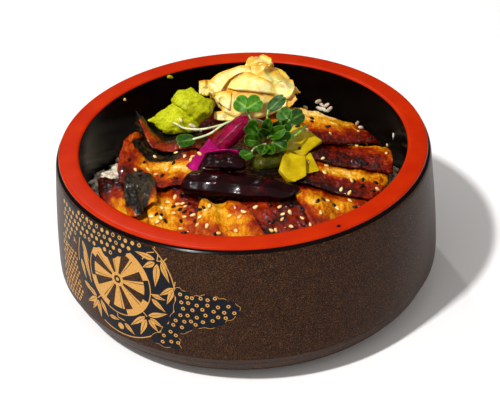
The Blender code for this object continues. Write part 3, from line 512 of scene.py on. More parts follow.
RINGS = [
    (-34.5, 54.6), (-31.1, 53.4), (-24.2, 53.7), (-17.2, 54.3), (-34.1, 50.1), (-30.6, 50.3), (-26.3, 49.5),
    (-21, 50.1), (-15.9, 49.4), (-10.8, 50), (-33.3, 46.6), (-28.6, 46.5), (-23.6, 47.4), (-18.1, 46.8),
    (-13, 46.5), (-8.1, 46.3), (-34.9, 42.5), (-31.2, 43), (-26.6, 42.5), (-22.2, 44.3), (-16, 43.7),
    (-37.5, 38.9), (-33, 39.1), (-23.6, 40.2), (-18.8, 41.4), (-38.9, 36), (-34.4, 35.5), (-27.4, 38.2),
    (-40.5, 31.5), (-44.3, 28.3), (-37.9, 29.9), (-45.2, 24.2), (-40.5, 25.5), (-36.9, 25.6), (-12.4, 43.4),
    (-28.6, 53.4), (-20.8, 53.2), (-29.6, 39.8),
]
dots = [sector(Vector(spot), 0.45, 1.02, turn, turn + 180, 6) for spot in RINGS for turn in (0, 180)]
# The other two fields have smaller dots in even rows, given by their pitch and size.
draw = random.Random(4)
for outline, pitch, size in ((UPPER_FIELD, 4.1, 1.2), (LEFT_FIELD, 2.9, 0.9)):
    outline = scallops(outline, 0.8)
    for row in range(40):
        for column in range(40):
            spot = Vector((-126 + pitch * (column + 0.5 * (row % 2)), 20 + pitch * 0.86 * row))
            spot += Vector((draw.uniform(-0.25, 0.25), draw.uniform(-0.25, 0.25)))
            if all(inside_outline(p, outline) for p in disc(spot, size, 6)):
                hole = draw.uniform(0.4, 0.6) * size
                dots += [sector(spot, hole, size * 0.95, turn, turn + 180, 5) for turn in (60, 240)]
inlay("pattern_dots", dots, gold, lift=0.14)


# The rice is one bed of soft cooked grains. It shows at the left and round the back, where the eel leaves it
# bare, so loose grains lie there, a few layers deep, and one sticks to the wall at the right.
def tree_of(mesh):
    """A search tree of a mesh, in millimetres."""
    shape = bmesh.new()
    shape.from_mesh(mesh)
    bmesh.ops.scale(shape, vec=(1 / MM,) * 3, verts=shape.verts)
    tree = BVHTree.FromBMesh(shape)
    shape.free()
    return tree


def drop(tree, x, y):
    """Where a line straight down meets a surface, and its normal there."""
    return tree.ray_cast(Vector((x, y, 200)), Vector((0, 0, -1)))[:2]


def soft_copy(node, voxel, rounds):
    """A CAD solid made anew as an even, rounded skin, in millimetres."""
    made = bpy.data.objects.new("copy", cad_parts[node].data.copy())
    bpy.context.scene.collection.objects.link(made)
    modifier = made.modifiers.new("skin", "REMESH")
    modifier.mode = "VOXEL"
    modifier.voxel_size = voxel * MM
    bpy.context.view_layer.update()
    skin = bpy.data.meshes.new_from_object(made.evaluated_get(bpy.context.evaluated_depsgraph_get()))
    bpy.data.objects.remove(made)
    shape = bmesh.new()
    shape.from_mesh(skin)
    bmesh.ops.scale(shape, vec=(1 / MM,) * 3, verts=shape.verts)
    axes = {"use_axis_x": True, "use_axis_y": True, "use_axis_z": True}
    for _ in range(rounds):
        bmesh.ops.smooth_vert(shape, verts=shape.verts, factor=0.5, **axes)
    shape.normal_update()
    return shape


def lumps(x, y, z, size):
    """Smooth noise from about -1 to 1, with lumps of a size in millimetres."""
    return noise.noise(Vector((x, y, z)) / size)


def roughen(shape, *layers):
    """Moves a shape's surface along its normals by layers of lumps, given as size and depth."""
    moves = [sum(depth * lumps(*v.co, size) for size, depth in layers) for v in shape.verts]
    for v, move in zip(shape.verts, moves):
        v.co += v.normal * move


def lying(spot, normal):
    """The frame of a thing that lies on a surface at a spot."""
    return Matrix.Translation(spot) @ normal.to_track_quat("Z", "X").to_matrix().to_4x4()


def add_grain(shape, half_sizes, frame_of_grain):
    """Adds one grain of rice."""
    made = bmesh.ops.create_icosphere(shape, subdivisions=1, radius=1)["verts"]
    bmesh.ops.scale(shape, vec=half_sizes, verts=made)
    bmesh.ops.transform(shape, matrix=frame_of_grain, verts=made)


GRAINS = 900
eel_names = [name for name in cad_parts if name.startswith("eel_")]
cad_trees = {name: tree_of(node.data) for name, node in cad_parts.items()}
cooked = Finish("cooked_rice", roughness=0.4, subsurface_weight=0.3, subsurface_scale=0.002, coat_weight=0.25)
cooked.apply(
    base_color=cooked.mix(
        cooked.noise(7, 2).between(0.5, 0.7),
        cooked.ramp(cooked.noise(2.5, 2), (0.3, paint(196, 180, 156)), (0.7, paint(236, 224, 206))),
        paint(176, 138, 98),
    ),
    normal=cooked.bump(cooked.noise(0.6, 2), 0.05),
)
bed = soft_copy("rice", 1.6, 3)
roughen(bed, (3.2, 0.7), (1.6, 0.3))
piece("rice_bed", bed, cooked, slot="rice", replaces=["rice"])
grains = bmesh.new()
draw = random.Random(11)
for _ in range(GRAINS):
    angle, radius = draw.uniform(0, 2 * math.pi), draw.uniform(58, 80.5)
    x, y = radius * math.cos(angle), radius * math.sin(angle)
    spot, normal = drop(cad_trees["rice"], x, y)
    if spot is None or any(drop(cad_trees[name], x, y)[0] for name in eel_names):
        continue
    lift = draw.uniform(-0.4, 1.3)
    half_sizes = (draw.uniform(2.7, 3.3), draw.uniform(1.25, 1.45), 1.25)
    turn = Matrix.Rotation(draw.uniform(0, math.pi), 4, "Z")
    turn = turn @ Matrix.Rotation(draw.uniform(-0.5, 0.5), 4, "Y")
    add_grain(grains, half_sizes, lying(spot + normal * lift, normal) @ turn)
stuck = Matrix.Translation((80.6, 22, 66)) @ Matrix.Rotation(0.3, 4, "Z") @ Matrix.Rotation(1.35, 4, "Y")
add_grain(grains, (2.8, 1.3, 1.1), stuck)
for v in grains.verts:
    reach = math.hypot(v.co.x, v.co.y)
    limit = inner_wall(v.co.z) - 0.15
    if reach > limit:
        v.co.x *= limit / reach
        v.co.y *= limit / reach
piece("rice_grains", grains, cooked, slot="rice")


# The eel was split, steamed, grilled and brushed with a sweet soy glaze, then cut across. Each cut is soft
# golden flesh that has taken the glaze unevenly, near black where it pooled and burnt, with dark skin on some
# edges.
EEL_REACH = 80.91
CORNER_ROUNDING = 0.45
glazed = Finish("glazed_eel", coat_roughness=0.04, specular_ior_level=0.08)
amount = glazed.attribute("glaze")
skin = glazed.attribute("skin")
patches = glazed.noise(6, 4, 0.55)
fine = glazed.noise(0.8, 3, 0.6)
swells = glazed.noise(2.6, 2, 0.5)
streaks = glazed.noise(1.6, 4, 0.6, glazed.stretched(1, 0.3, 1))
creases = glazed.creases(4.5, 0.12)
taken = amount + (patches - 0.5) * 0.62 + (streaks - 0.5) * 0.42 + (fine - 0.5) * 0.24
taken = taken + creases * 0.06
meat = glazed.ramp(
    taken,
    (0.02, paint(252, 216, 138)),
    (0.16, paint(220, 158, 24)),
    (0.30, paint(194, 110, 0)),
    (0.42, paint(164, 60, 0)),
    (0.54, paint(140, 33, 0)),
    (0.68, paint(104, 16, 0)),
    (0.84, paint(50, 6, 0)),
    (1.00, paint(16, 2, 1)),
)
hide = glazed.ramp(
    patches + (fine - 0.5) * 0.3,
    (0.3, paint(9, 8, 5)),
    (0.5, paint(28, 22, 13)),
    (0.68, paint(70, 52, 27)),
)
wet_share = taken.between(0.2, 0.6)
glazed.apply(
    base_color=glazed.mix(skin.between(0.35, 0.65), meat, hide),
    roughness=0.5 - wet_share * 0.2 + fine * 0.1,
    coat_weight=0.05 + wet_share * 0.35,
    normal=glazed.bump(fine * 0.25 + streaks * 0.6, 0.4, glazed.bump(swells, 0.9)),
)


class Cut:
    """One cut of eel: its corners in plan, its thickness, and its glaze and skin at places on it.

    A place runs from -1 at the left end to 1 at the right, and from -1 at the front edge to 1 at the back.
    Glaze runs from 0 for pale flesh to 1 for burnt glaze, and skin from 0 to 1."""

    def __init__(self, corners, thick, glaze, skin=((0, 0, 0),)):
        self.corners = [Vector(corner) for corner in corners]
        self.thick = thick
        self.glaze = glaze
        self.skin = skin
        steps = [i / 24 for i in range(-24, 25)]
        self.places = [(s, t) for s in steps for t in steps]
        self.tree = KDTree(len(self.places))
        for index, (s, t) in enumerate(self.places):
            self.tree.insert((*self.plan(s, t), 0), index)
        self.tree.balance()

    def plan(self, s, t):
        """Where a place of the cut lies: rounded at the corners, uneven at the edges and inside the bowl."""
        u = s * math.sqrt(1 - CORNER_ROUNDING * t * t / 2)
        v = t * math.sqrt(1 - CORNER_ROUNDING * s * s / 2)
        u *= 1 + 0.06 * lumps(v * 9, self.thick, self.corners[0][0], 5)
        v *= 1 + 0.08 * lumps(u * 12, self.thick, self.corners[1][0], 5)
        back_left, back_right, front_right, front_left = self.corners
        back = back_left.lerp(back_right, (u + 1) / 2)
        front = front_left.lerp(front_right, (u + 1) / 2)
        x, y = front.lerp(back, (v + 1) / 2)
        radius = math.hypot(x, y)
        if radius > EEL_REACH * 0.9:
            squeezed = EEL_REACH * (1 - 0.1 * math.exp(-(radius / EEL_REACH - 0.9) / 0.1))
            x, y = x * squeezed / radius, y * squeezed / radius
        return x, y

    def place_of(self, x, y):
        """The place of the cut that lies nearest to a spot in plan."""
        return self.places[self.tree.find((x, y, 0))[1]]


def blended(points, s, t):
    """Values at places, blended from the given ones, of which the nearest count most."""
    weights = [(0.01 + (s - a) ** 2 + (t - b) ** 2) ** -1.8 for a, b, _ in points]
    return sum(w * point[2] for w, point in zip(weights, points)) / sum(weights)


CUTS = {
    "eel_back_centre": Cut(
        [(-42, 60), (26, 62), (30, 22), (-30, 20)],
        6.0,
        [(-0.4, 0.4, 0.5), (-0.5, -0.2, 0.7), (-0.1, 0.3, 0.6), (0.5, 0.2, 0.42), (0.8, 0.2, 0.35),
         (0.5, -0.4, 0.7)],
    ),
    "eel_centre": Cut(
        [(-30, 28), (40, 25), (36, -44), (-38, -38)],
        6.0,
        [(0, 0, 0.95), (0.4, -0.8, 0.85), (-0.5, -0.7, 0.8), (0, 0.8, 0.8), (0.9, 0.2, 0.8)],
    ),
    "eel_front_dark": Cut(
        [(-11, -31), (31, -32), (44, -62), (6, -75)],
        6.5,
        [(-0.8, 0.9, 0.8), (-0.5, 0.6, 0.66), (-0.3, 0.4, 0.52), (-0.1, 0.5, 0.72), (0.3, 0.5, 0.92),
         (0.6, 0.4, 0.8), (-0.5, 0.2, 0.5), (-0.2, 0.2, 0.62), (0.1, 0.1, 0.76), (0.35, 0.1, 0.62),
         (0.6, 0, 0.8), (0.8, -0.1, 0.58), (-0.4, -0.1, 0.66), (-0.1, -0.15, 0.84), (0.2, -0.2, 0.6),
         (0.5, -0.3, 0.7), (-0.5, -0.4, 0.86), (-0.1, -0.45, 0.6), (0.2, -0.5, 0.74), (0.6, -0.6, 0.52)],
    ),
    "eel_left_rim": Cut(
        [(-80, 3), (-58, -6), (-40, -56), (-70, -42)],
        5.5,
        [(-0.5, 0.6, 0.9), (0, 0.7, 0.88), (-0.6, 0.4, 0.92), (-0.2, 0.45, 0.78), (0.3, 0.5, 0.84),
         (-0.7, 0.2, 0.8), (-0.3, 0.2, 0.5), (0.1, 0.2, 0.5), (-0.8, -0.1, 0.6), (-0.4, 0, 0.26),
         (0, 0, 0.3), (-0.2, -0.3, 0.22), (0.4, -0.5, 0.22), (-0.7, -0.6, 0.3)],
    ),
    "eel_left_gold": Cut(
        [(-52, -14), (-28, -20), (-11, -66), (-47, -66)],
        6.5,
        [(-0.5, 0.5, 0.46), (-0.1, 0.6, 0.4), (0.2, 0.5, 0.66), (0.5, 0.5, 0.88), (-0.5, 0.3, 0.3),
         (-0.2, 0.3, 0.22), (0.1, 0.3, 0.46), (0.6, 0.3, 0.78), (-0.8, 0, 0.26), (-0.4, 0.05, 0.18),
         (0, 0, 0.32), (0.4, -0.1, 0.5), (0.7, 0, 0.7), (-0.8, -0.3, 0.2), (-0.3, -0.2, 0.2),
         (0.1, -0.25, 0.3), (0.4, -0.3, 0.56), (-0.6, -0.5, 0.22), (-0.1, -0.45, 0.3), (0.3, -0.55, 0.52),
         (0, -0.8, 0.45)],
    ),
    "eel_front_gold": Cut(
        [(-23, -36), (-3, -39), (15, -77), (-27, -73)],
        6.5,
        [(-0.7, 0.6, 0.3), (-0.4, 0.7, 0.22), (0, 0.75, 0.25), (0.3, 0.5, 0.38), (0.65, 0.45, 0.6),
         (-0.8, 0.3, 0.2), (-0.4, 0.4, 0.12), (0, 0.45, 0.18), (0.5, 0.3, 0.32), (0.8, 0.3, 0.46),
         (-0.8, 0, 0.32), (-0.4, 0, 0.2), (0.1, 0.15, 0.24), (0.6, 0, 0.32), (0.9, -0.1, 0.52),
         (-0.8, -0.3, 0.46), (-0.5, -0.35, 0.5), (-0.1, -0.2, 0.3), (0.3, -0.2, 0.3), (0.8, -0.35, 0.42),
         (-0.3, -0.6, 0.45), (0.2, -0.5, 0.3)],
    ),
    "eel_front_right": Cut(
        [(21, -22), (62, -27), (61, -57), (31, -62)],
        6.0,
        [(-0.7, 0.6, 0.75), (-0.85, 0.1, 0.32), (-0.5, 0.25, 0.3), (-0.7, -0.1, 0.16), (-0.4, -0.1, 0.2),
         (0, 0.4, 0.44), (0.2, 0.05, 0.22), (0.45, 0, 0.25), (0.75, 0, 0.6), (-0.9, -0.4, 0.6),
         (-0.5, -0.5, 0.3), (-0.2, -0.35, 0.24), (0.1, -0.3, 0.36), (-0.6, -0.8, 0.6), (0.5, -0.4, 0.5)],
    ),
    "eel_right_front": Cut(
        [(27, 0), (80, -4), (64, -40), (24, -31)],
        6.5,
        # Along the back strip, the glaze values of 0.5 are partly real dark glaze and partly painted shadow,
        # cast over it by the front edge of eel_right_back.
        [(-0.5, 0.5, 0.5), (0.1, 0.6, 0.5), (0.6, 0.6, 0.5), (-0.25, 0.15, 0.1), (0, 0.2, 0.12),
         (0.2, 0, 0.2), (0.4, 0.1, 0.18), (0.6, 0.15, 0.2), (0.85, 0.1, 0.26), (-0.7, -0.2, 0.86),
         (-0.45, -0.25, 0.76), (0, -0.45, 0.72), (0.25, -0.5, 0.66), (0.5, -0.4, 0.7), (0.8, -0.4, 0.56),
         (-0.3, -0.8, 0.84), (0.2, -0.9, 0.8), (0.5, -0.85, 0.7), (-0.8, -0.9, 0.95)],
    ),
    "eel_right_back": Cut(
        [(33, 19), (79, 16), (81, -18), (30, -9)],
        7.5,
        [(-0.5, 0.3, 0.8), (0, 0.65, 0.32), (0.3, 0.65, 0.24), (0.6, 0.7, 0.2), (0.9, 0.5, 0.3),
         (-0.1, 0.35, 0.7), (0.3, 0.35, 0.66), (-0.8, -0.5, 0.86), (-0.4, -0.3, 0.78), (0, -0.15, 0.68),
         (0.25, 0, 0.6), (0.55, 0, 0.52), (0.85, 0.15, 0.42), (1, -0.2, 0.42), (-0.2, -0.6, 0.76),
         (0.2, -0.5, 0.8), (0.5, -0.45, 0.66), (0.75, -0.5, 0.56), (-0.6, -0.9, 0.88), (0, -0.9, 0.8),
         (0.5, -0.85, 0.78), (0.9, -0.8, 0.6)],
    ),
    "eel_back_right": Cut(
        [(22, 54), (66, 42), (77, 13), (28, 3)],
        10.5,
        [(-0.8, 0.5, 0.2), (-0.5, 0.6, 0.05), (-0.2, 0.5, 0.03), (0, 0.4, 0.06), (0.2, 0.3, 0.1),
         (0.4, 0.3, 0.2), (0.6, 0.2, 0.42), (0.8, 0, 0.62), (-0.8, 0.2, 0.38), (-0.55, 0.2, 0.2),
         (-0.35, 0.2, 0.12), (-0.7, 0, 0.32), (-0.4, 0, 0.25), (0, 0, 0.2), (0.3, 0, 0.34),
         (-0.5, -0.3, 0.42), (-0.2, -0.3, 0.34), (0.1, -0.3, 0.34), (0.35, -0.35, 0.56), (-0.5, -0.65, 0.7),
         (-0.1, -0.65, 0.64), (0.3, -0.7, 0.7), (-0.3, -0.9, 0.78), (0.4, -0.95, 0.76), (0.8, -0.6, 0.76)],
    ),
    "eel_left": Cut(
        [(-59, 29), (-22, 13), (-27, -29), (-68, -19)],
        6.5,
        [(-0.95, 0.9, 0.4), (-0.8, 0.5, 0.44), (-1, 0.2, 0.5), (-0.9, 0, 0.52), (-0.75, 0.25, 0.44),
         (-0.7, 0, 0.6), (-0.9, -0.3, 0.62), (-0.8, -0.7, 0.74), (-0.65, -0.4, 0.66), (-0.5, 0.1, 0.34),
         (-0.5, -0.1, 0.32), (-0.2, -0.2, 0.25), (0, -0.1, 0.18), (0.3, -0.1, 0.14), (0.6, -0.1, 0.1),
         (0.9, -0.2, 0.1), (0.1, -0.5, 0.48), (0.35, -0.5, 0.34), (0.7, -0.55, 0.34), (-0.3, -0.6, 0.6),
         (0.1, -0.8, 0.62), (0.6, -0.85, 0.7), (0.6, 0.4, 0.6)],
        [(-0.6, 0.5, 1), (-0.4, 0.8, 1), (-0.35, 0.45, 1), (-0.25, 0.2, 0.8), (-0.1, 0.4, 1),
         (0.2, 0.4, 0.9), (0.45, 0.35, 0.6), (0.7, 0.35, 0.4), (-0.5, 0.1, 0.3), (-0.2, 0, 0.2),
         (0.1, 0, 0), (0.6, 0, 0), (0, -0.6, 0), (-0.9, 0.7, 0), (-0.85, 0.2, 0), (-0.7, -0.5, 0)],
    ),
    "eel_back_left": Cut(
        [(-61, 44), (-22, 31), (-12, 7), (-50, 6)],
        6.5,
        [(-0.9, 0.4, 0.36), (-0.95, -0.2, 0.36), (-0.8, -0.5, 0.5), (-0.7, -0.1, 0.5), (-0.5, -0.5, 0.68),
         (0, -0.6, 0.74), (0.6, -0.5, 0.72), (-0.5, -0.9, 0.6), (0.2, -0.9, 0.66)],
        [(-0.92, 0.2, 1), (-0.96, -0.04, 1), (-1, -0.15, 0.9), (-1, -0.36, 0), (-1, -0.6, 0),
         (-0.6, 0.3, 0.9), (-0.3, 0.3, 1), (0, 0.5, 1), (0.5, 0.5, 1), (-0.2, -0.1, 0.9), (0.1, -0.2, 0.7),
         (0.4, -0.1, 0.8), (-0.7, -0.5, 0), (0, -0.7, 0), (0.6, -0.6, 0)],
    ),
    "eel_skin_fold": Cut(
        [(-63, -15), (-46, -13), (-43, -42), (-60, -44)],
        3.0,
        [(0, 0, 0.9), (-0.9, -0.9, 0.4), (0.9, -0.9, 0.3)],
        [(0, 0.2, 1), (0.7, 0.5, 1), (-0.7, 0.5, 1), (0, -0.5, 1), (-0.9, -0.95, 0.3), (0.9, -0.95, 0.2),
         (0.95, -0.3, 0.5)],
    ),
}


def mark(mesh, **marks):
    """Gives a mesh values at its points, which its material reads by name."""
    for label, values in marks.items():
        mesh.attributes.new(label, "FLOAT", "POINT").data.foreach_set("value", values)


def build_cut(name, cut):
    """A cut of eel, flaked where the flesh is bare and blistered where it is glazed or skinned."""
    shape = soft_copy(name, 0.62, 3)
    spots = np.array([cut.place_of(v.co.x, v.co.y) for v in shape.verts])
    bare = blended(cut.glaze, spots[:, 0], spots[:, 1])
    skinned = blended(cut.skin, spots[:, 0], spots[:, 1])
    for v, glaze_here, skin_here in zip(shape.verts, bare, skinned):
        x, y, z = v.co
        blister = 0.5 - abs(lumps(x, y, z, 3.0)) * 2.2 + lumps(y, x, z, 1.5) * 0.75
        blister += lumps(z, x, y, 1.0) * 0.3
        flake = lumps(x, y * 0.3, z, 1.6) * 0.8 + lumps(x * 0.4, y, z, 4.5)
        rough = min(1.0, max(0.0, (max(glaze_here, skin_here) - 0.35) / 0.3))
        v.co += v.normal * ((0.55 * blister - 0.2) * rough + 0.34 * flake * (1 - 0.6 * rough))
    slot = "eel_skin" if name == "eel_skin_fold" else "eel"
    mesh = piece(name + "_cut", shape, glazed, slot=slot, replaces=[name]).data
    mark(mesh, glaze=bare, skin=skinned)
    return tree_of(mesh)


laid = {name: build_cut(name, cut) for name, cut in CUTS.items()}


# The wasabi is a soft paste of grated root, set down with a spoon: lobes with creases between them, hollows
# and a smeared tail.
PICTURE = Vector((500, 400))


def sight(pixel):
    """The line of sight through a pixel of the picture: where it starts and its direction."""
    reach = camera.data.lens / camera.data.sensor_width * PICTURE.x
    aim = Vector(((pixel[0] - PICTURE.x / 2) / reach, (PICTURE.y / 2 - pixel[1]) / reach, -1))
    return camera.matrix_world.translation / MM, (camera.matrix_world.to_3x3() @ aim).normalized()


paste = Finish("wasabi_paste", subsurface_weight=0.15, subsurface_scale=0.002, specular_ior_level=0.2)
grain = paste.noise(1.1, 3, 0.6)
paste.apply(
    base_color=paste.ramp(
        grain + (paste.noise(6, 2) - 0.5) * 0.4,
        (0.25, paint(140, 144, 2)),
        (0.5, paint(178, 182, 4)),
        (0.75, paint(206, 208, 26)),
    ),
    roughness=0.42 + grain * 0.2,
    normal=paste.bump(grain, 0.22),
)
lump = soft_copy("wasabi", 0.55, 2)
roughen(lump, (6, 1.3), (2.4, 0.5), (1.0, 0.15))
# Hollows are pushed in from the side of a line of sight, given by pixel, size and depth. Creases run from one
# pixel to another, with their depth and width.
HOLLOWS = [
    ((158, 95), 8, 3.5),
    ((168, 84), 6, 2.5),
    ((186, 77), 9, 3.2),
    ((207, 83), 8, 4),
    ((150, 107), 6, 2.5),
]
CREASES = [
    ((172, 104), (191, 118), 2.0, 1.0),
    ((193, 105), (204, 114), 1.2, 1.6),
    ((166, 113), (176, 127), 0.7, 0.9),
]
for pixel, size, depth in HOLLOWS:
    start, aim = sight(pixel)
    for v in lump.verts:
        away = v.co - start - aim * (v.co - start).dot(aim)
        v.co += away.normalized() * depth * math.exp(-((away.length / size) ** 2))
for first, second, depth, width in CREASES:
    start, one = sight(first)
    other = sight(second)[1]
    across = one.cross(other).normalized()
    along = (other - one).normalized()
    for v in lump.verts:
        aim = (v.co - start).normalized()
        share = (aim - one).dot(along) / (other - one).length
        fade = math.exp(-((max(0, -share, share - 1) / 0.2) ** 2))
        off = (v.co - start).dot(across) + 0.8 * lumps(*v.co, 3)
        v.co -= v.normal * depth * fade * math.exp(-((off / width) ** 2))
made = piece("wasabi_lump", lump, paste, slot="wasabi", replaces=["wasabi"])
laid["wasabi"] = tree_of(made.data)


# The ginger was sliced thin, pickled in sweet vinegar and heaped: limp, wet, translucent slices that lie over
# one another.
pickled = Finish("pickled_ginger", subsurface_weight=0.4, subsurface_scale=0.003)
fibre = pickled.noise(1.0, 3, 0.55, pickled.stretched(0.35, 1, 1))
# This value darkens the ginger's colour. It is painted shade along each slice's upper edge, where the slice
# tucks under the one above, in the troughs of its pleats, and over the heap beneath the slices.
fold = pickled.attribute("fold")
pickled.apply(
    base_color=pickled.ramp(
        fibre * 0.6 + (pickled.noise(8, 2) - 0.5) * 0.4 + 0.3 - fold,
        (0.05, paint(216, 132, 14)),
        (0.32, paint(240, 182, 62)),
        (0.52, paint(250, 212, 120)),
        (0.78, paint(255, 238, 180)),
    ),
    roughness=0.24 + fibre * 0.14,
    specular_ior_level=0.2,
    coat_weight=0.12,
    normal=pickled.bump(fibre, 0.15),
)
# Each slice lies between an upper and a lower edge in the picture, with its layer counted from the heap.
SLICES = [
    ([(250, 63), (257, 58), (263, 54.5), (271, 58)],
     [(251, 70), (258, 66), (266, 64), (272, 66)], 0),
    ([(214, 112), (221, 111), (229, 111), (240, 112)],
     [(214, 119), (221, 121), (229, 121), (240, 119)], 0),
    ([(199, 81), (205, 80), (212, 80), (219, 79)],
     [(199, 94), (206, 96), (214, 94), (224, 90)], 1),
    ([(249, 66), (258, 62), (267, 63), (277, 70)],
     [(254, 86), (263, 87), (274, 85), (284, 81)], 1),
    ([(228, 88), (242, 90), (258, 91), (276, 93), (288, 90)],
     [(224, 112), (236, 118), (252, 119), (268, 116), (286, 107)], 1),
    ([(210, 80), (219, 73), (230, 69), (241, 65.5), (250, 66)],
     [(221, 92), (226, 84), (233, 77), (242, 73), (252, 74)], 2),
    ([(258, 74), (266, 68), (275, 71), (284, 77), (293, 80)],
     [(262, 92), (272, 95), (283, 99), (290, 98), (295, 88)], 2),
    ([(213, 93), (218, 92), (222, 91), (227, 91), (232, 92)],
     [(210, 110), (213, 110), (218, 103), (224, 107), (230, 111)], 2),
    ([(231, 81), (239, 75), (248, 72), (259, 76), (270, 81)],
     [(227, 88), (238, 90.5), (250, 91.5), (263, 93), (279, 95)], 3),
]
core = soft_copy("ginger", 0.8, 3)
shrunk = [v.co - v.normal * 1.3 for v in core.verts]
for v, co in zip(core.verts, shrunk):
    v.co = co
roughen(core, (6, 0.8), (2.5, 0.4))
made = piece("ginger_heap", core, pickled, slot="ginger", replaces=["ginger"])
# The heap is painted a fixed amount darker, as painted shade beneath the slices.
mark(made.data, fold=[0.25] * len(made.data.vertices))
laid["ginger"] = tree_of(made.data)


def along_curve(points, count):
    """Points along a smooth curve through the given ones."""
    found = []
    for step in range(count + 1):
        where = step / count * (len(points) - 1)
        index = min(int(where), len(points) - 2)
        share = where - index
        a, b = points[max(0, index - 1)], points[index]
        c, d = points[index + 1], points[min(len(points) - 1, index + 2)]
        bend = (2 * a - 5 * b + 4 * c - d) * share**2 + (3 * b - a - 3 * c + d) * share**3
        found.append(0.5 * (2 * b + (c - a) * share + bend))
    return found


def evened(reach, rounds):
    """Distances on a grid with the missing ones filled from their neighbours, and all of them smoothed."""
    while rounds > 0 or np.isnan(reach).any():
        wide = np.pad(reach, 1, mode="edge")
        near = np.stack([wide[1:-1, :-2], wide[1:-1, 2:], wide[:-2, 1:-1], wide[2:, 1:-1]])
        known = ~np.isnan(near)
        mean = np.where(known, near, 0).sum(axis=0) / np.maximum(known.sum(axis=0), 1)
        mean = np.where(known.any(axis=0), mean, np.nan)
        reach = np.where(np.isnan(reach), mean, (reach + mean) / 2)
        rounds -= 1
    return reach


def sheet_of(across, down):
    """A sheet of two layers from -1 to 1 both ways, and the points of its upper layer."""
    sheet = bmesh.new()
    bmesh.ops.create_grid(sheet, x_segments=across, y_segments=down, size=1)
    return sheet, doubled(sheet)


def join(whole, sheet):
    """Adds a finished sheet to a shape that holds several."""
    bmesh.ops.recalc_face_normals(sheet, faces=sheet.faces)
    part = bpy.data.meshes.new("part")
    sheet.to_mesh(part)
    sheet.free()
    whole.from_mesh(part)


ACROSS = 44
DOWN = 16
slices = bmesh.new()
folds = []
for number, (upper, lower, layer) in enumerate(SLICES):
    upper = along_curve([Vector(p) for p in upper], ACROSS)
    lower = along_curve([Vector(p) for p in lower], ACROSS)
    grid = [[u.lerp(w, row / DOWN) for u, w in zip(upper, lower)] for row in range(DOWN + 1)]
    hits = [[laid["ginger"].ray_cast(*sight(pixel))[3] for pixel in line] for line in grid]
    reach = evened(np.array([[math.nan if hit is None else hit for hit in line] for line in hits]), 8)
    sheet, over = sheet_of(ACROSS, DOWN)
    for v in sheet.verts:
        s, t = (v.co.x + 1) / 2, (v.co.y + 1) / 2
        column, row = round(s * ACROSS), round(t * DOWN)
        start, aim = sight(grid[row][column])
        edge = min(s, 1 - s, t * 0.7, (1 - t) * 0.7)
        thick = 0.8 * math.sqrt(min(1.0, 0.04 + edge / 0.08))
        lip = 1.3 * math.exp(-(((1 - t) / 0.2) ** 2)) - 1.1 * math.exp(-(((1 - t) / 0.05) ** 2))
        wave = math.sin(13 * s + 2 * number + 2 * t)
        pleats = 0.5 * wave * t + 0.25 * math.sin(29 * s + number) * t * t
        pleats += 0.5 * lumps(*grid[row][column], number, 5)
        out = 0.3 + 0.95 * layer + lip + pleats + (thick if v in over else -thick)
        v.co = start + aim * (reach[row, column] - out)
        # Painted shade: darker along the upper edge, where the slice goes under the one above, and in the
        # pleat troughs.
        folds.append(0.4 * math.exp(-((t / 0.2) ** 2)) + 0.12 * max(0.0, -wave) * t)
    join(slices, sheet)
made = piece("ginger_slices", slices, pickled, slot="ginger")
mark(made.data, fold=folds)
laid["ginger_slices"] = tree_of(made.data)


# The aubergine was pickled whole in purple brine: the large pieces near black with wrinkled wet skin, the
# others magenta. The cucumber was pickled with a yellow dye and cut across, and one end kept its dark green
# skin.
def wet(name, dark, middle, light, size, depth, roughness=0.16):
    """A wet pickle's skin, mottled and finely wrinkled."""
    finish = Finish(name, coat_weight=0.16, coat_roughness=0.05, specular_ior_level=0.06)
    mottle = finish.noise(size, 3, 0.6)
    wrinkles = finish.noise(size * 0.35, 3, 0.6, finish.stretched(0.4, 1, 1))
    finish.apply(
        base_color=finish.ramp(mottle, (0.3, dark), (0.55, middle), (0.8, light)),
        roughness=roughness + wrinkles * 0.15,
        normal=finish.bump(wrinkles, depth, finish.bump(mottle, depth)),
    )
    return finish


plum = wet("dark_aubergine", paint(10, 0, 1), paint(26, 0, 2), paint(70, 4, 10), 6, 0.1)
magenta = wet("magenta_aubergine", paint(84, 0, 26), paint(126, 2, 46), paint(168, 18, 82), 4, 0.22, 0.25)
violet = wet("violet_aubergine", paint(130, 0, 66), paint(160, 5, 92), paint(186, 36, 122), 4, 0.2, 0.3)
yellow = wet("yellow_cucumber", paint(158, 130, 1), paint(184, 156, 2), paint(206, 182, 22), 6, 0.12, 0.25)
olive = wet("green_cucumber", paint(32, 34, 2), paint(60, 60, 5), paint(98, 96, 18), 4, 0.3)
# Each pickle has its finish, how finely and smoothly it is cut, its lumps as size and depth, and its slot.
PICKLES = [
    ("aubergine_dark_large", plum, 0.55, 3, [(9, 1.1), (4, 0.2)], "dark_pickle"),
    ("aubergine_dark_small", plum, 0.5, 2, [(4, 0.9), (2.0, 0.35)], "dark_pickle"),
    ("aubergine_magenta_upright", magenta, 0.5, 2, [(4, 0.4), (1.6, 0.1)], "purple_pickle"),
    ("aubergine_magenta_flap", violet, 0.4, 1, [(4, 0.25)], "purple_pickle"),
    ("cucumber_green", olive, 0.5, 2, [(3, 0.4)], "green_pickle"),
    ("cucumber_yellow_back", yellow, 0.45, 2, [(6, 0.3)], "yellow_pickle"),
    ("cucumber_yellow_front", yellow, 0.45, 2, [(6, 0.3)], "yellow_pickle"),
    ("cucumber_yellow_side", yellow, 0.4, 2, [(6, 0.2)], "yellow_pickle"),
]
for name, finish, voxel, rounds, layers, slot in PICKLES:
    shape = soft_copy(name, voxel, rounds)
    roughen(shape, *layers)
    made = piece(name + "_piece", shape, finish, slot=slot, replaces=[name])
    laid[name] = tree_of(made.data)


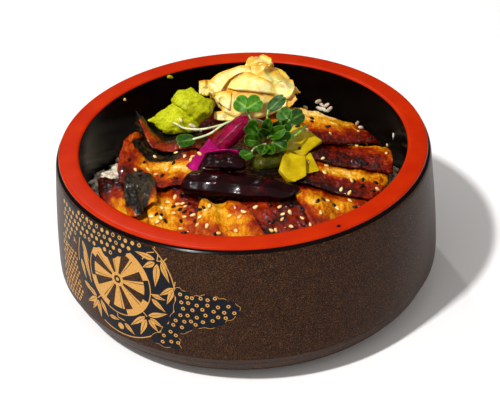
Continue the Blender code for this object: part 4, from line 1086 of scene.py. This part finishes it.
# The radish sprouts are a few days old and lie in a tangle: thin pale stems, each with two round seed leaves
# that have a notch at the tip.
leafy = Finish("seed_leaf", specular_ior_level=0.2, coat_weight=0.1, coat_roughness=0.08)
veining = leafy.noise(1.8, 2, 0.5)
# This value pales the leaf towards a light green. It holds the real paler ribs and veins, and a painted sheen
# round the leaf's rim.
vein = leafy.attribute("vein")
# Each leaf is mixed between a darker and a paler green by a share set per leaf; the free top pair are the
# palest.
young = leafy.attribute("young")
blade = leafy.mix(
    young,
    leafy.ramp(veining, (0.3, paint(12, 40, 0)), (0.7, paint(32, 74, 1))),
    leafy.ramp(veining, (0.3, paint(38, 94, 1)), (0.7, paint(74, 132, 6))),
)
leafy.apply(
    base_color=leafy.mix(vein, blade, paint(140, 182, 72)),
    roughness=0.3 + veining * 0.15,
    normal=leafy.bump(veining, 0.15),
)
stalk = Finish("sprout_stem", roughness=0.35, subsurface_weight=0.3, subsurface_scale=0.001)
height_up = stalk.node("SeparateXYZ", inputs={"Vector": stalk.place}, output="Z")
stalk.apply(
    base_color=stalk.mix(height_up.between(0.079, 0.086), paint(226, 222, 176), paint(126, 176, 62))
)
STEMS = [
    ((10, 2, 82), (5, 9, 87), (3.4, 14, 91), (3.5, 12, 94.4)),
    ((14, 3, 83), (13, 7, 88), (14, 9.5, 93.8)),
    ((16, 1, 84), (21, 1, 88), (24.5, 0.5, 92.5)),
    ((15, -4, 82), (20.5, -7, 84), (27.5, -2.5, 85), (33, 7, 84.5)),
    ((13, 2, 81), (11, 17, 81), (-5, 20, 80.5), (-22, 17.5, 79), (-36, 23.5, 78)),
    ((13, 2, 81), (10, 18, 82), (-6, 19, 82), (-17, 11, 80), (-26, 9.5, 78)),
    ((12, -5, 82), (6, -10, 83), (3, -15, 82)),
]
# Each leaf has its foot, the way it grows, the way its face looks, its length and its width. The first two
# are the palest and stand free at the top, and from the eighth on they crowd in a cluster.
PALE_LEAVES = 2
FREE_LEAVES = 7
SEED_LEAVES = [
    ((3.5, 12, 94), (-0.8, 0.35, 0.45), (-0.1, -0.8, 0.6), 8.7, 9.0),
    ((3.5, 12, 94), (0.85, 0.2, 0.45), (0.15, -0.8, 0.6), 9.0, 9.2),
    ((14, 9.5, 93.3), (0.75, 0.4, 0.45), (-0.3, -0.6, 0.75), 12.4, 7.3),
    ((24.5, 0.5, 92.0), (-0.6, 0.6, 0.5), (-0.3, -0.75, 0.6), 8.7, 8.5),
    ((24.5, 0.5, 92.0), (0.85, 0.3, 0.3), (0.3, -0.75, 0.6), 9.0, 8.3),
    ((4, -14, 82.4), (-0.55, -0.4, 0.1), (-0.3, -0.6, 0.8), 7.7, 6.5),
    ((-25.5, 9.5, 78.2), (-0.85, -0.3, 0.05), (-0.1, -0.6, 0.8), 10.6, 7.7),
    ((14, -4, 86), (0.7, -0.3, 0.55), (0.2, -0.8, 0.6), 11.8, 7.7),
    ((11, -5, 86), (-0.3, -0.5, 0.7), (0.2, -0.8, 0.5), 10.6, 7.7),
    ((8, -5, 84), (-0.85, -0.4, 0.4), (-0.3, -0.8, 0.6), 10.0, 7.1),
    ((16, -7, 83), (0.6, -0.7, 0.1), (0.2, -0.7, 0.7), 11.2, 7.7),
    ((9, -2, 86), (-0.4, 0.1, 0.9), (-0.3, -0.9, 0.3), 11.2, 7.1),
    ((18, 0, 85), (0.7, 0.1, 0.6), (0.0, -0.8, 0.6), 11.2, 7.7),
    ((11, -8, 82), (-0.2, -0.9, 0.1), (0.0, -0.5, 0.85), 10.0, 7.1),
    ((13, -2, 88), (0.2, -0.2, 0.9), (-0.4, -0.8, 0.4), 9.4, 6.8),
    ((19, -3, 84), (0.8, -0.4, 0.3), (-0.3, -0.6, 0.7), 8.8, 6.6),
    ((7, -2, 86), (-0.7, 0.1, 0.7), (-0.2, -0.8, 0.5), 8.6, 6.4),
    ((13, -9, 83), (0.3, -0.8, -0.1), (-0.3, -0.6, 0.8), 8.4, 6.2),
    ((15, -1, 87), (0.5, -0.1, 0.8), (0.3, -0.9, 0.3), 9.0, 6.4),
]


STEM_RADIUS = 0.62


def rest_on(x, y):
    """Height of the highest finished surface at a place in plan, if there is one."""
    hits = [drop(tree, x, y)[0] for tree in laid.values()]
    return max((hit.z for hit in hits if hit is not None), default=None)


def add_tube(shape, points, radius):
    """Adds a round stem along points, closed at both ends."""
    ring = bmesh.ops.create_circle(shape, cap_ends=True, segments=8, radius=radius)["verts"]
    face = ring[0].link_faces[0]
    ahead = (points[1] - points[0]).normalized()
    bmesh.ops.transform(shape, matrix=lying(points[0], ahead), verts=ring)
    for index in range(1, len(points)):
        grown = bmesh.ops.extrude_face_region(shape, geom=[face])["geom"]
        face = next(part for part in grown if isinstance(part, bmesh.types.BMFace))
        new = (points[min(index + 1, len(points) - 1)] - points[index - 1]).normalized()
        swing = ahead.rotation_difference(new).to_matrix().to_4x4()
        move = Matrix.Translation(points[index]) @ swing @ Matrix.Translation(-points[index - 1])
        bmesh.ops.transform(shape, matrix=move, verts=face.verts)
        ahead = new


stems = bmesh.new()
for stem in STEMS:
    points = along_curve([Vector(p) for p in stem], 12 * (len(stem) - 1))
    for point in points:
        below = rest_on(point.x, point.y)
        if below is not None:
            point.z = max(point.z, below + 0.6)
    for _ in range(3):
        for index in range(1, len(points) - 1):
            points[index].z = max(points[index].z, (points[index - 1].z + points[index + 1].z) / 2)
    add_tube(stems, points, STEM_RADIUS)
bmesh.ops.recalc_face_normals(stems, faces=stems.faces)
piece("sprout_stems", stems, stalk, slot="sprout", replaces=["radish_sprouts"])
leaves = bmesh.new()
veins = []
youth = []
for number, (foot, along, face, length, width) in enumerate(SEED_LEAVES):
    along = Vector(along).normalized()
    across = Vector(face).cross(along).normalized()
    face = along.cross(across)
    sheet, over = sheet_of(16, 16)
    for v in sheet.verts:
        s, t = v.co.x * math.sqrt(1 - v.co.y**2 / 2), v.co.y * math.sqrt(1 - v.co.x**2 / 2)
        notch = 0.07 * math.exp(-((t / 0.16) ** 2)) * max(0.0, s) ** 3
        reach = (0.42 + 0.5 * s - notch) * length
        spread = t * (1 + 0.18 * s) * width / (2 if number < FREE_LEAVES else 2.3)
        cup = 0.07 * length * (s * s + t * t - 1) - 0.12 * math.exp(-((t / 0.1) ** 2))
        cup += 0.25 * math.sin(3 * s + 2 * t + foot[0])
        if number >= FREE_LEAVES:
            cup += (0.16 + 0.07 * (number % 3)) * width * abs(t) + 0.05 * length * math.sin(4 * s + number)
        thick = 0.45 * math.sqrt(max(0.03, 1 - s * s - t * t))
        depth = cup + 0.35 + (thick if v in over else -thick)
        v.co = Vector(foot) + along * reach + across * spread + face * depth
        branch = max(0.0, math.sin(9 * (s - abs(t)) + 1)) ** 6 * 0.3
        rib = math.exp(-((t / (0.1 - 0.05 * s)) ** 2)) * (1 - max(0.0, s)) * 0.8
        # The ribs and veins are real; the term for the rim is a painted sheen.
        shown = rib + branch * (1 - abs(t)) + 0.35 * max(0.0, s * s + t * t - 0.82) / 0.18
        pale = number < PALE_LEAVES
        veins.append(min(1.0, shown) * (1.0 if pale else 0.45))
        youth.append(1.0 if pale else (0.0, 0.3, 0.1, 0.5)[number % 4])
    join(leaves, sheet)
made = piece("sprout_leaves", leaves, leafy, slot="sprout")
mark(made.data, vein=veins, young=youth)


# White sesame was toasted until golden, black sesame left as it is, and both were strewn over the dish at the
# end. Each seed is a flat drop about 3 mm long. Their places, and those of a few stray grains of rice and a
# fleck of wasabi, are where the picture shows them, in pixels of 500 by 400.
WHITE_SEEDS = [
    (155, 157), (176, 153), (184.5, 157), (193, 157), (191, 160), (200, 153.5), (135.5, 170), (148, 170),
    (156, 175), (167, 170), (175, 197.5), (168, 202.5), (178, 204.5), (183, 204), (185.5, 207),
    (162, 208.5), (174, 213.7), (151.6, 216.7), (160.6, 218), (157.4, 222.3), (184.5, 217), (193, 215.5),
    (200, 217.5), (197.3, 225.2), (206.8, 226.5), (181, 229), (209.3, 206), (205.8, 210.5), (217.8, 233.7),
    (229.6, 216.3), (236, 231), (239.7, 217.3), (243.5, 212.3), (306, 107), (307, 130.7), (330, 134),
    (358, 132), (356.4, 146.3), (366.6, 143.5), (387.6, 145.4), (386.4, 153.7), (322.6, 158.8),
    (326.4, 165.8), (324, 172.8), (308, 162.6), (351.3, 180.7), (377.4, 189.4), (341.3, 189.4),
    (349.4, 193), (327.7, 201), (349.7, 201), (337.2, 208.5), (320.7, 212.6), (279.8, 207.2),
    (255.4, 207.5), (283, 214.6), (290, 212.6), (282.4, 219.7), (302.2, 218.5), (245, 212.3),
    (180.5, 120.3), (124.5, 99.5), (291.3, 226.8), (271.2, 230.5), (275.8, 230.8), (310.5, 224.5),
    (191.6, 140.7),
]
BLACK_SEEDS = [
    (129, 160), (153, 151), (144, 162.7), (140, 171.3), (139.6, 176), (162, 176), (175.3, 178.5),
    (173.8, 163.2), (175.3, 189.2), (180.4, 195.8), (173.8, 207), (180, 209.6), (184.5, 212),
    (156.4, 214.7), (161, 215.2), (165, 221.3), (181, 221.3), (189, 204), (190.6, 213.2), (196.2, 221.3),
    (199.3, 210), (203.4, 207.6), (215.6, 233.8), (184, 233), (311.7, 118.6), (312, 122), (297.7, 126.6),
    (328.6, 127), (299.6, 148.6), (371, 139), (346.8, 157.2), (329.6, 162.3), (360.2, 165.2), (366, 164),
    (362.8, 180.2), (354, 181.5), (375.5, 183), (361.5, 186.2), (372.7, 191.3), (317.5, 201.5),
    (323.2, 199.8), (334, 205.7), (355, 207.2), (302.2, 208), (294.5, 202.8), (304, 209.2), (269.6, 204.7),
    (291.3, 206), (272.8, 222), (269, 222.6), (338.5, 226.4),
]
STRAY_GRAINS = [
    (319, 101), (322, 104), (327, 105), (330, 109), (325, 109), (321, 108), (358, 123), (362, 127),
    (360, 129), (192, 126), (195, 129), (198, 131),
]
FLECKS = [(169.3, 76.4), (170.6, 76.8)]


def seen_at(pixel):
    """The nearest finished surface behind a pixel: the place, its normal, a number and the distance."""
    hits = [tree.ray_cast(*sight(pixel)) for tree in laid.values()]
    return min((hit for hit in hits if hit[0] is not None), key=lambda hit: hit[3], default=None)


def sow(name, pixels, finish, slot="eel"):
    """Lays a seed, a fleck or a grain of rice at each pixel, on the surface that is seen there."""
    seeds = bmesh.new()
    for pixel in pixels:
        found = seen_at(pixel)
        if not found:
            continue
        spot, normal = found[:2]
        made = bmesh.ops.create_uvsphere(seeds, u_segments=8, v_segments=5, radius=1)["verts"]
        for v in made:
            if slot == "rice":
                v.co = Vector((v.co.x * 2.5, v.co.y * 1.15, v.co.z * 1.0))
            else:
                v.co = Vector((v.co.x * 1.6, v.co.y * (0.92 - 0.3 * v.co.x), v.co.z * 0.6))
        turn = Matrix.Rotation(draw.uniform(0, 2 * math.pi), 4, "Z")
        turn = turn @ Matrix.Rotation(draw.uniform(-0.3, 0.3), 4, "Y")
        size = Matrix.Scale(draw.uniform(0.85, 1.08), 4)
        lift = normal * draw.uniform(0.2, 0.5) * (2.2 if slot == "rice" else 1)
        bmesh.ops.transform(seeds, matrix=lying(spot + lift, normal) @ turn @ size, verts=made)
    piece(name, seeds, finish, slot=slot)


laid["bowl"] = bowl_tree
toasted = Finish("toasted_sesame", roughness=0.3, coat_weight=0.4)
toasted.apply(
    base_color=toasted.ramp(toasted.noise(4, 2), (0.35, paint(230, 172, 84)), (0.65, paint(254, 230, 160))),
    subsurface_weight=0.2,
    subsurface_scale=0.001,
)
dark_seed = Finish("black_sesame", roughness=0.3, coat_weight=0.15, base_color=paint(6, 6, 8))
dark_seed.apply(specular_ior_level=0.2)
sow("sesame_white", WHITE_SEEDS, toasted)
sow("sesame_black", BLACK_SEEDS, dark_seed)
sow("wasabi_fleck", FLECKS, paste, slot="wasabi")
sow("rice_strays", STRAY_GRAINS, cooked, slot="rice")


# The dish stands on a plain white floor. A key light from the front left throws its shadow back to the right,
# a weak one from behind edges it, and soft light from all round fills it, stronger from the front.
floor_shape = bmesh.new()
bmesh.ops.create_grid(floor_shape, x_segments=1, y_segments=1, size=3)
floor_mesh = bpy.data.meshes.new("floor")
floor_shape.to_mesh(floor_mesh)
floor_shape.free()
floor_mesh.materials.append(Finish("floor_white", base_color=(0.9, 0.885, 0.875), roughness=0.9).material)
floor = bpy.data.objects.new("floor", floor_mesh)
bpy.context.scene.collection.objects.link(floor)
world = bpy.data.worlds.new("studio")
world.use_nodes = True
background = world.node_tree.nodes["Background"]
background.inputs["Color"].default_value = (1.0, 0.98, 0.96, 1)
direction = world.node_tree.nodes.new("ShaderNodeTexCoord")
parts = world.node_tree.nodes.new("ShaderNodeSeparateXYZ")
falling = world.node_tree.nodes.new("ShaderNodeMapRange")
for key, value in {"From Min": 0.95, "From Max": -0.35, "To Min": 0.05, "To Max": 0.62}.items():
    falling.inputs[key].default_value = value
world.node_tree.links.new(direction.outputs["Generated"], parts.inputs[0])
world.node_tree.links.new(parts.outputs["Y"], falling.inputs["Value"])
world.node_tree.links.new(falling.outputs[0], background.inputs["Strength"])
bpy.context.scene.world = world
bpy.context.scene.view_settings.view_transform = "Standard"
# Each light has its place and size in metres and its power in watts.
LIGHTS = {
    "key_light": ((-0.74, -0.72, 1.63), 0.11, 36.0),
    "back_light": ((-0.3, 1.0, 1.2), 0.06, 3.2),
}
for name, (place, size, power) in LIGHTS.items():
    light = bpy.data.objects.new(name, bpy.data.lights.new(name, "AREA"))
    light.data.energy = power
    light.data.size = size
    light.location = place
    light.rotation_euler = (Vector((0, 0, 0.05)) - light.location).to_track_quat("-Z", "Y").to_euler()
    bpy.context.scene.collection.objects.link(light)
